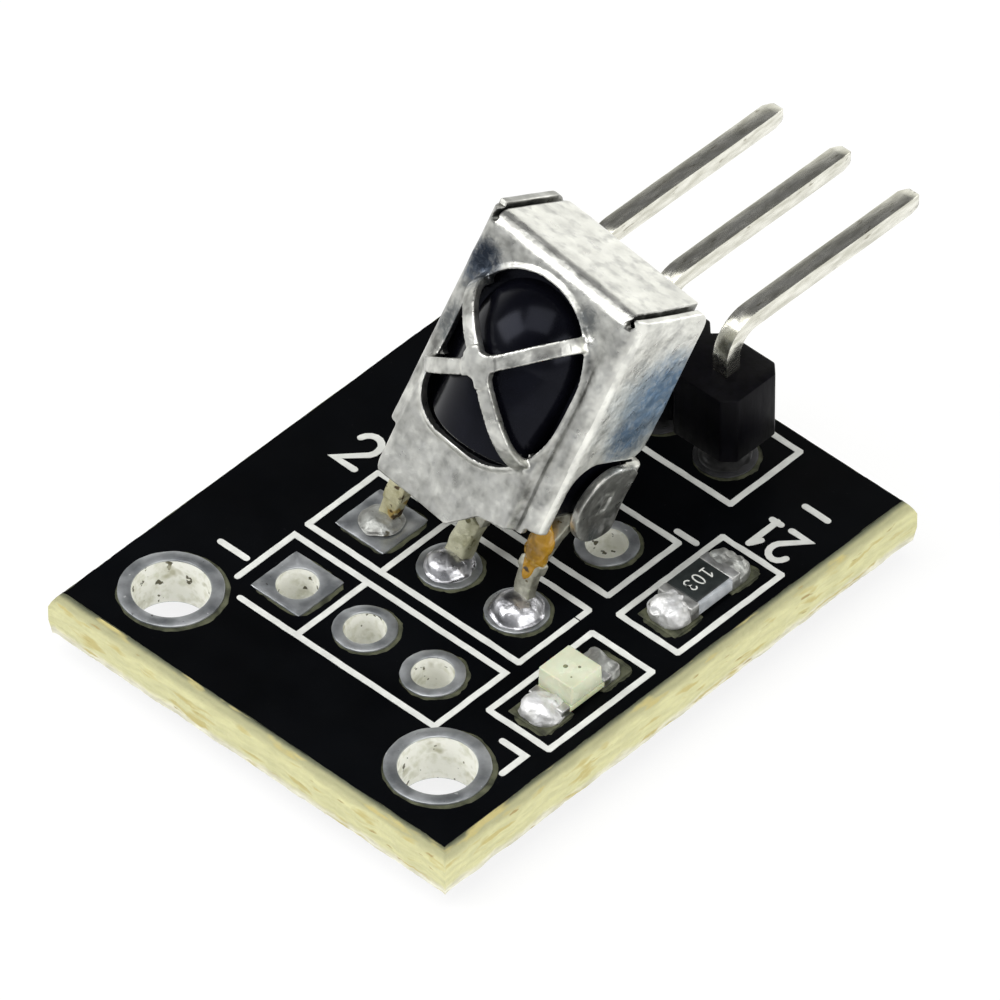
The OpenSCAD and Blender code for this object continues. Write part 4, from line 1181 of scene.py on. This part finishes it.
class MODULE_OT_body(bpy.types.Operator):
    """Model the dark moulded body with its lens"""
    bl_idname = "module.body"
    bl_label = "Receiver body"

    def execute(self, context):
        body = block("receiver_moulding", (-2.66, -1.48, 3.32), (2.66, 1.39, 9.68))
        rounded(body, 0.3, segments=4)
        bpy.ops.object.select_all(action="DESELECT")
        bpy.ops.mesh.primitive_uv_sphere_add(
            segments=96, ring_count=48, radius=LENS_R, location=(OPENING_X, LENS_Y, OPENING_HIGH))
        lens = added("lens")
        trunk = rod("trunk", LENS_R, LENS_FOOT, OPENING_HIGH, (OPENING_X, LENS_Y), facets=96)
        rounded(trunk, 0.12, segments=3, angle=0.9)
        combine(lens, trunk, "UNION")
        combine(body, lens, "UNION")
        settle(body, "dark resin", ["receiver_body"], receiver_matrix(), smooth=0.5)
        for node in ("photodiode_chip", "amplifier_chip"):
            refinish(node, "bare silicon")
        return {"FINISHED"}


def strip_row(x, y, z, wide, thick):
    """Four corners of a flat strip."""
    half, deep = wide / 2, thick / 2
    return [Vector((x - half, y - deep, z)), Vector((x + half, y - deep, z)),
            Vector((x + half, y + deep, z)), Vector((x - half, y + deep, z))]


LEAD_WIDE, LEAD_THICK = 0.56, 0.40


def tinned_length(name, x, heights, place, top_lift, top_z):
    """Thick tin round a lead, from (height, extra width, extra depth) rows, with a stepped top."""
    rows = []
    for z, wide_by, deep_by in heights:
        row = strip_row(x, -0.01, z, LEAD_WIDE + wide_by, LEAD_THICK + deep_by)
        if z == top_z:
            for corner, lift in zip(row, top_lift):
                corner.z += lift
        rows.append([place @ p for p in row])
    tin = drawn_through(name, rows)
    rounded(tin, 0.07, segments=3)
    finish_with(tin, "SUBSURF", levels=2, render_levels=2, subdivision_type="SIMPLE")
    for v in tin.data.vertices:
        v.co += wobble(v.co, 0.4, 0.05, 4.0) + wobble(v.co, 0.15, 0.012, 8.0)
    return tin


class MODULE_OT_leads(bpy.types.Operator):
    """Model the receiver's leads with their trimmed stubs, tinning and flux"""
    bl_idname = "module.leads"
    bl_label = "Receiver leads"

    def execute(self, context):
        place = receiver_matrix()
        foot = Vector(context.scene.receiver_pose.foot)
        # height and the stub's extra width to each side
        upper = ((0.35, 0), (0.9, 0), (1.4, 0), (1.46, 0.1), (1.74, 0.1), (1.80, 0), (2.6, 0), (3.3, 0), (3.5, -0.12))
        for k, side in zip((-1, 0, 1), SIDES):
            rows = [strip_row(foot.x + k * PITCH, foot.y, z, LEAD_WIDE, LEAD_THICK)
                    for z in (-0.8, -0.4, 0.0, TOP - 0.1)]
            for z, extra in upper:
                bend = 0.2 * smooth_step(0.3, 1.2, z) * (1 - smooth_step(2.2, 3.2, z)) if k == 1 else 0.0
                row = strip_row(k * PITCH - bend, -bend, z, LEAD_WIDE + 2 * extra, LEAD_THICK)
                rows.append([place @ p for p in row])
            lead = drawn_through("lead_" + side, rows)
            rounded(lead, 0.05, segments=3)
            look = "yellowed tin" if side == "left" else "tinned lead"
            settle(lead, look, ["receiver_lead_" + side], smooth=0.6)

        middle = ((0.3, 0.10, 0.10), (0.7, 0.09, 0.12), (1.1, 0.10, 0.11), (1.45, 0.12, 0.10), (1.62, 0.09, 0.07))
        tin = tinned_length("tinning_middle", -0.02, middle, place, (0.14, -0.12, -0.12, 0.10), 1.62)
        settle(tin, "pale tin", smooth=0.8)
        left = ((0.3, 0.04, 0.05), (0.8, 0.07, 0.08), (1.3, 0.06, 0.09), (1.9, 0.10, 0.10), (2.3, 0.04, 0.05))
        tin = tinned_length("tinning_left", -PITCH, left, place, (0.05, -0.08, -0.05, 0.04), 2.3)
        settle(tin, "yellowed tin", smooth=0.8)

        # flux that hardened on the right lead, up to the shield's edge
        blob = ball("flux_right", 1, (0, 0, 0))
        for v in blob.data.vertices:
            p = v.co.copy()
            v.co = Vector((p.x * (0.34 + 0.05 * p.z), p.y * 0.33, p.z * 0.95))
            v.co += wobble(v.co, 0.45, 0.16, 3.0) + wobble(v.co, 0.2, 0.035, 9.0)
            v.co += Vector((PITCH - 0.20 - 0.05 * p.z, -0.30 - 0.10 * p.z, 2.10))
        settle(blob, "flux", matrix=place, smooth=3.0)
        return {"FINISHED"}


# row, side, foot radius of the dome, its height and a seed for its lumps
JOINTS = (("receiver", "left", 0.56, 0.20, 1.0), ("receiver", "middle", 0.64, 0.40, 2.2),
          ("receiver", "right", 0.72, 0.46, 3.1), ("header", "left", 0.66, 0.16, 7.0),
          ("header", "middle", 0.66, 0.16, 8.1), ("header", "right", 0.66, 0.16, 9.3))


def joint_outline(bore, foot, peak):
    """Half outline of a solder joint through a plated hole, with a thin dull rim on the pad."""
    rim = min(foot + 0.10, 0.80)
    return [(0, -0.66), (0.26, -0.64), (0.42, -0.36), (0.66, -0.12), (0.76, -0.055), (0.70, -0.05),
            (bore - 0.02, -0.05), (bore - 0.02, PAD), (rim - 0.02, PAD), (rim, PAD + 0.012),
            (rim - 0.03, PAD + 0.03), (foot, PAD + 0.045), (foot - 0.04, PAD + peak * 0.30),
            (foot * 0.82, PAD + peak * 0.62), (foot * 0.58, PAD + peak * 0.86),
            (foot * 0.3, PAD + peak), (0, PAD + peak * 1.02)]


class MODULE_OT_solder(bpy.types.Operator):
    """Model the solder joints of the leads and the pins"""
    bl_idname = "module.solder"
    bl_label = "Solder joints"

    def execute(self, context):
        for row, side, foot, peak, seed in JOINTS:
            node = ("lead_solder_" if row == "receiver" else "pin_solder_") + side
            bore = BORES.get(row, ROW_BORE)
            at = middle_of(f"{row}_hole_{side}")
            joint = turned(node + "_joint", joint_outline(bore, foot, peak), steps=56)
            finish_with(joint, "SUBSURF", levels=1, render_levels=1)
            for v in joint.data.vertices:
                if v.co.z > PAD or v.co.z < -0.05:
                    rise = smooth_step(PAD, PAD + peak, v.co.z)
                    reach = math.hypot(v.co.x, v.co.y)
                    v.co += wobble(v.co, 0.45, 0.05, seed) + wobble(v.co, 0.18, 0.012, seed + 4)
                    v.co.x -= 0.06 * rise
                    v.co.y -= 0.05 * rise
                    if reach > bore and v.co.z > 0:
                        v.co.z = max(v.co.z, PAD - 0.002)
            joint.data.transform(Matrix.Translation((at.x, at.y, 0)))
            look = "shaded solder" if row == "header" else "dull solder" if side == "left" else "joint solder"
            settle(joint, look, [node], smooth=3.0)
        return {"FINISHED"}


HEADER_CUT = 0.34
PIN_BEND, PIN_NECK, TIP_LONG, TIP_WIDE = 0.65, 0.45, 0.4, 0.36


def header_plan(low, high):
    """Corners of the header's moulding seen from above: a notch at each pitch and cut ends."""
    near, far = low.y, high.y
    front = [(low.x, near + HEADER_CUT), (low.x + HEADER_CUT, near)]
    back = []
    for k in (-0.5, 0.5):
        notch = ROW_X + k * PITCH
        front += [(notch - HEADER_CUT, near), (notch, near + HEADER_CUT), (notch + HEADER_CUT, near)]
        back += [(notch - HEADER_CUT, far), (notch, far - HEADER_CUT), (notch + HEADER_CUT, far)]
    front += [(high.x - HEADER_CUT, near), (high.x, near + HEADER_CUT)]
    behind = [(low.x, far - HEADER_CUT), (low.x + HEADER_CUT, far)] + back
    behind += [(high.x - HEADER_CUT, far), (high.x, far - HEADER_CUT)]
    return front + behind[::-1]


def pin_path(mid_y, foot_z, neck_z, run_z, tip_y, bend):
    """Depth, height and rise angle along a right-angle pin, from its foot to the start of its tip."""
    path = [(mid_y, foot_z, 90), (mid_y, 0.0, 90), (mid_y, TOP, 90), (mid_y, neck_z, 90)]
    steps = 10
    for step in range(1, steps):
        angle = 90 * step / steps
        turn = math.radians(angle)
        path.append((mid_y + bend * (1 - math.cos(turn)), run_z - bend * (1 - math.sin(turn)), 90 - angle))
    path += [(mid_y + bend, run_z, 0), (mid_y + 3.0, run_z, 0), (mid_y + 5.4, run_z, 0), (tip_y - TIP_LONG, run_z, 0)]
    return path


class MODULE_OT_header(bpy.types.Operator):
    """Model the header's moulding and its bent pins"""
    bl_idname = "module.header"
    bl_label = "Pin header"

    def execute(self, context):
        low, high = box_mm("header_body")
        body = slab("header_moulding", header_plan(low, high), low.z, high.z)
        rounded(body, 0.05, segments=2)
        settle(body, "header plastic", ["header_body"], smooth=0.5)

        for k, side in zip((-1, 0, 1), SIDES):
            pin_low, pin_high = box_mm("header_pin_" + side)
            half = (pin_high.x - pin_low.x) / 2
            run_z = pin_high.z - half
            bend = PIN_BEND + half
            x = (pin_high.x + pin_low.x) / 2
            section = [(-half, -half), (half, -half), (half, half), (-half, half)]
            rows = []
            path = pin_path(ROWS["header"], pin_low.z, run_z - bend, run_z, pin_high.y, bend)
            for y, z, rise in path:
                way = math.radians(rise)
                out = Vector((0, -math.sin(way), math.cos(way)))
                rows.append([Vector((x + a, y, z)) + out * b for a, b in section])
            for back, narrow in ((0.12, 0.82), (0.0, TIP_WIDE / (2 * half))):
                rows.append([Vector((x + a * narrow, pin_high.y - back, run_z - 0.03 + b * narrow)) for a, b in section])
            pin = drawn_through("pin_" + side, rows)
            rounded(pin, 0.022, segments=2, angle=0.35)
            for v in pin.data.vertices:
                v.co.z -= 0.11 * smooth_step(ROWS["header"] + 1, pin_high.y, v.co.y)
            settle(pin, "pin metal", ["header_pin_" + side], smooth=0.5)
        return {"FINISHED"}


def chip_solder(name, mid, side, reach, height, seed):
    """Lumpy solder from the outer end of a pad up over the end of a chip part."""
    lump = ball(name, 1, (0, 0, 0))
    for v in lump.data.vertices:
        p = v.co.copy()
        wide = math.copysign(abs(p.x) ** 0.72, p.x) * 0.62
        tall = math.copysign(abs(p.z) ** 0.8, p.z) * height if p.z > 0 else 0.0
        v.co = Vector((wide, p.y * reach, tall * (1.0 - 0.10 * p.y * side)))
        if p.z > 0:
            v.co += wobble(v.co, 0.55, 0.13, seed) + wobble(v.co, 0.2, 0.045, seed + 6)
        else:
            shift = wobble(v.co, 0.5, 0.05, seed)
            v.co += Vector((shift.x, shift.y, 0))
        v.co.z = max(0.0, v.co.z)
        v.co += Vector((mid.x, mid.y + side * 1.13, PAD))
    return lump


# part, end, side, reach along the part, height and finish of each lump
CHIP_LUMPS = (("resistor", "front", -1, 0.54, 0.60, "bright solder"), ("resistor", "back", 1, 0.54, 0.52, "dull solder"),
              ("light", "front", -1, 0.56, 0.44, "bright solder"), ("light", "back", 1, 0.50, 0.36, "dull solder"))
CHIP_WIDE, CHIP_LONG, CAP_LONG = 0.625, 1.0, 0.35


class MODULE_OT_chip_parts(bpy.types.Operator):
    """Model the chip resistor and the chip light with their pads, end metal and solder"""
    bl_idname = "module.chip_parts"
    bl_label = "Chip parts"

    def lands(self, part, mid, height):
        """Pads and end metal of one chip part."""
        pads, caps = [], []
        for side in (-1, 1):
            y = mid.y + side * 1.15
            pads.append(block("pad", (mid.x - 0.7, y - 0.575, TOP), (mid.x + 0.7, y + 0.575, PAD)))
            y0, y1 = sorted((mid.y + side * (CHIP_LONG - CAP_LONG), mid.y + side * CHIP_LONG))
            caps.append(block("cap", (mid.x - CHIP_WIDE, y0, PAD), (mid.x + CHIP_WIDE, y1, PAD + height)))
        pads = joined(part + "_lands", pads)
        rounded(pads, 0.02, segments=1)
        settle(pads, "bare ground", [part + "_pads"])
        caps = joined(part + "_ends", caps)
        rounded(caps, 0.04, segments=3)
        settle(caps, "chip metal", [part + "_caps"])

    def resistor(self):
        """Ceramic block, dark coat and plain number of the resistor."""
        mid = RESISTOR_MID
        wide, long = CHIP_WIDE - 0.005, CHIP_LONG - 0.05
        core = block("resistor_block", (mid.x - wide, mid.y - long, PAD + 0.05),
                     (mid.x + wide, mid.y + long, PAD + 0.45))
        rounded(core, 0.02)
        settle(core, "chip ceramic", ["resistor_core"])
        coat = block("resistor_film", (mid.x - 0.60, mid.y - 0.66, PAD + 0.44),
                     (mid.x + 0.52, mid.y + 0.66, PAD + 0.51))
        rounded(coat, 0.03, segments=3)
        settle(coat, "dark coat", ["resistor_coat"])
        signs = []
        for number, sign in enumerate("103"):
            y = mid.y + 0.34 - number * 0.33
            signs.append(digit(sign, (mid.x - 0.24, y - 0.12), (mid.x + 0.18, y + 0.12), 3, 0.045,
                               PAD + 0.505, PAD + 0.515))
        settle(joined("resistor_number", signs), "ink")

    def light(self):
        """Carrier, clear block and the dark spots of the light."""
        mid = LIGHT_MID
        low, high = box_mm("light_lens")
        base_low, base_high = box_mm("light_base")
        base = block("light_carrier", base_low, base_high)
        rounded(base, 0.03)
        settle(base, "pale carrier", ["light_base"])
        lens = block("light_block", low, high)
        with editing(lens) as shape:
            pick(lens, shape, lambda f: f.normal.z > 0.9)
            bpy.ops.transform.resize(value=(0.98, 0.97, 1.0))
        rounded(lens, 0.04, segments=3)
        settle(lens, "clear block", ["light_lens"])
        refinish("light_chip", "light die")
        spots = []
        for x, y, radius in ((-0.10, -0.08, 0.07), (0.20, 0.16, 0.045), (0.30, -0.28, 0.03)):
            spots.append(rod("spot", radius, high.z - 0.02, high.z + 0.004, (mid.x + x, mid.y + y), facets=20))
        spots = joined("light_spots", spots)
        rounded(spots, 0.004, segments=1)
        settle(spots, "light die")

    def execute(self, context):
        self.lands("resistor", RESISTOR_MID, 0.5)
        self.lands("light", LIGHT_MID, 0.3)
        for part, end, side, reach, height, look in CHIP_LUMPS:
            mid = RESISTOR_MID if part == "resistor" else LIGHT_MID
            lump = chip_solder(f"{part}_joint_{end}", mid, side, reach, height, mid.y + side)
            settle(lump, look, [f"{part}_solder_{end}"], smooth=3.0)
        self.resistor()
        self.light()
        return {"FINISHED"}


class MODULE_PT_panel(bpy.types.Panel):
    """Lists the steps that make the module"""
    bl_label = "Infrared receiver module"
    bl_idname = "MODULE_PT_panel"
    bl_space_type = "VIEW_3D"
    bl_region_type = "UI"
    bl_category = "Module"

    def draw(self, context):
        for step in STEPS:
            self.layout.operator(step.bl_idname)
        for group, kind in GROUPS:
            settings = getattr(context.scene, group)
            for name in kind.__annotations__:
                self.layout.prop(settings, name)


GROUPS = (("board_sizes", BoardSizes), ("receiver_pose", ReceiverPose), ("finish_colours", FinishColours))
STEPS = (MODULE_OT_finishes, MODULE_OT_stage, MODULE_OT_board, MODULE_OT_holes, MODULE_OT_print,
         MODULE_OT_shield, MODULE_OT_body, MODULE_OT_leads, MODULE_OT_solder, MODULE_OT_header,
         MODULE_OT_chip_parts)


def register():
    for name, group in GROUPS:
        bpy.utils.register_class(group)
        setattr(bpy.types.Scene, name, bpy.props.PointerProperty(type=group))
    for step in STEPS:
        bpy.utils.register_class(step)
    bpy.utils.register_class(MODULE_PT_panel)


def unregister():
    bpy.utils.unregister_class(MODULE_PT_panel)
    for step in reversed(STEPS):
        bpy.utils.unregister_class(step)
    for name, group in reversed(GROUPS):
        delattr(bpy.types.Scene, name)
        bpy.utils.unregister_class(group)


def main():
    register()
    for step in STEPS:
        space, name = step.bl_idname.split(".")
        getattr(getattr(bpy.ops, space), name)()
    bpy.context.view_layer.update()


if __name__ == "__main__":
    main()
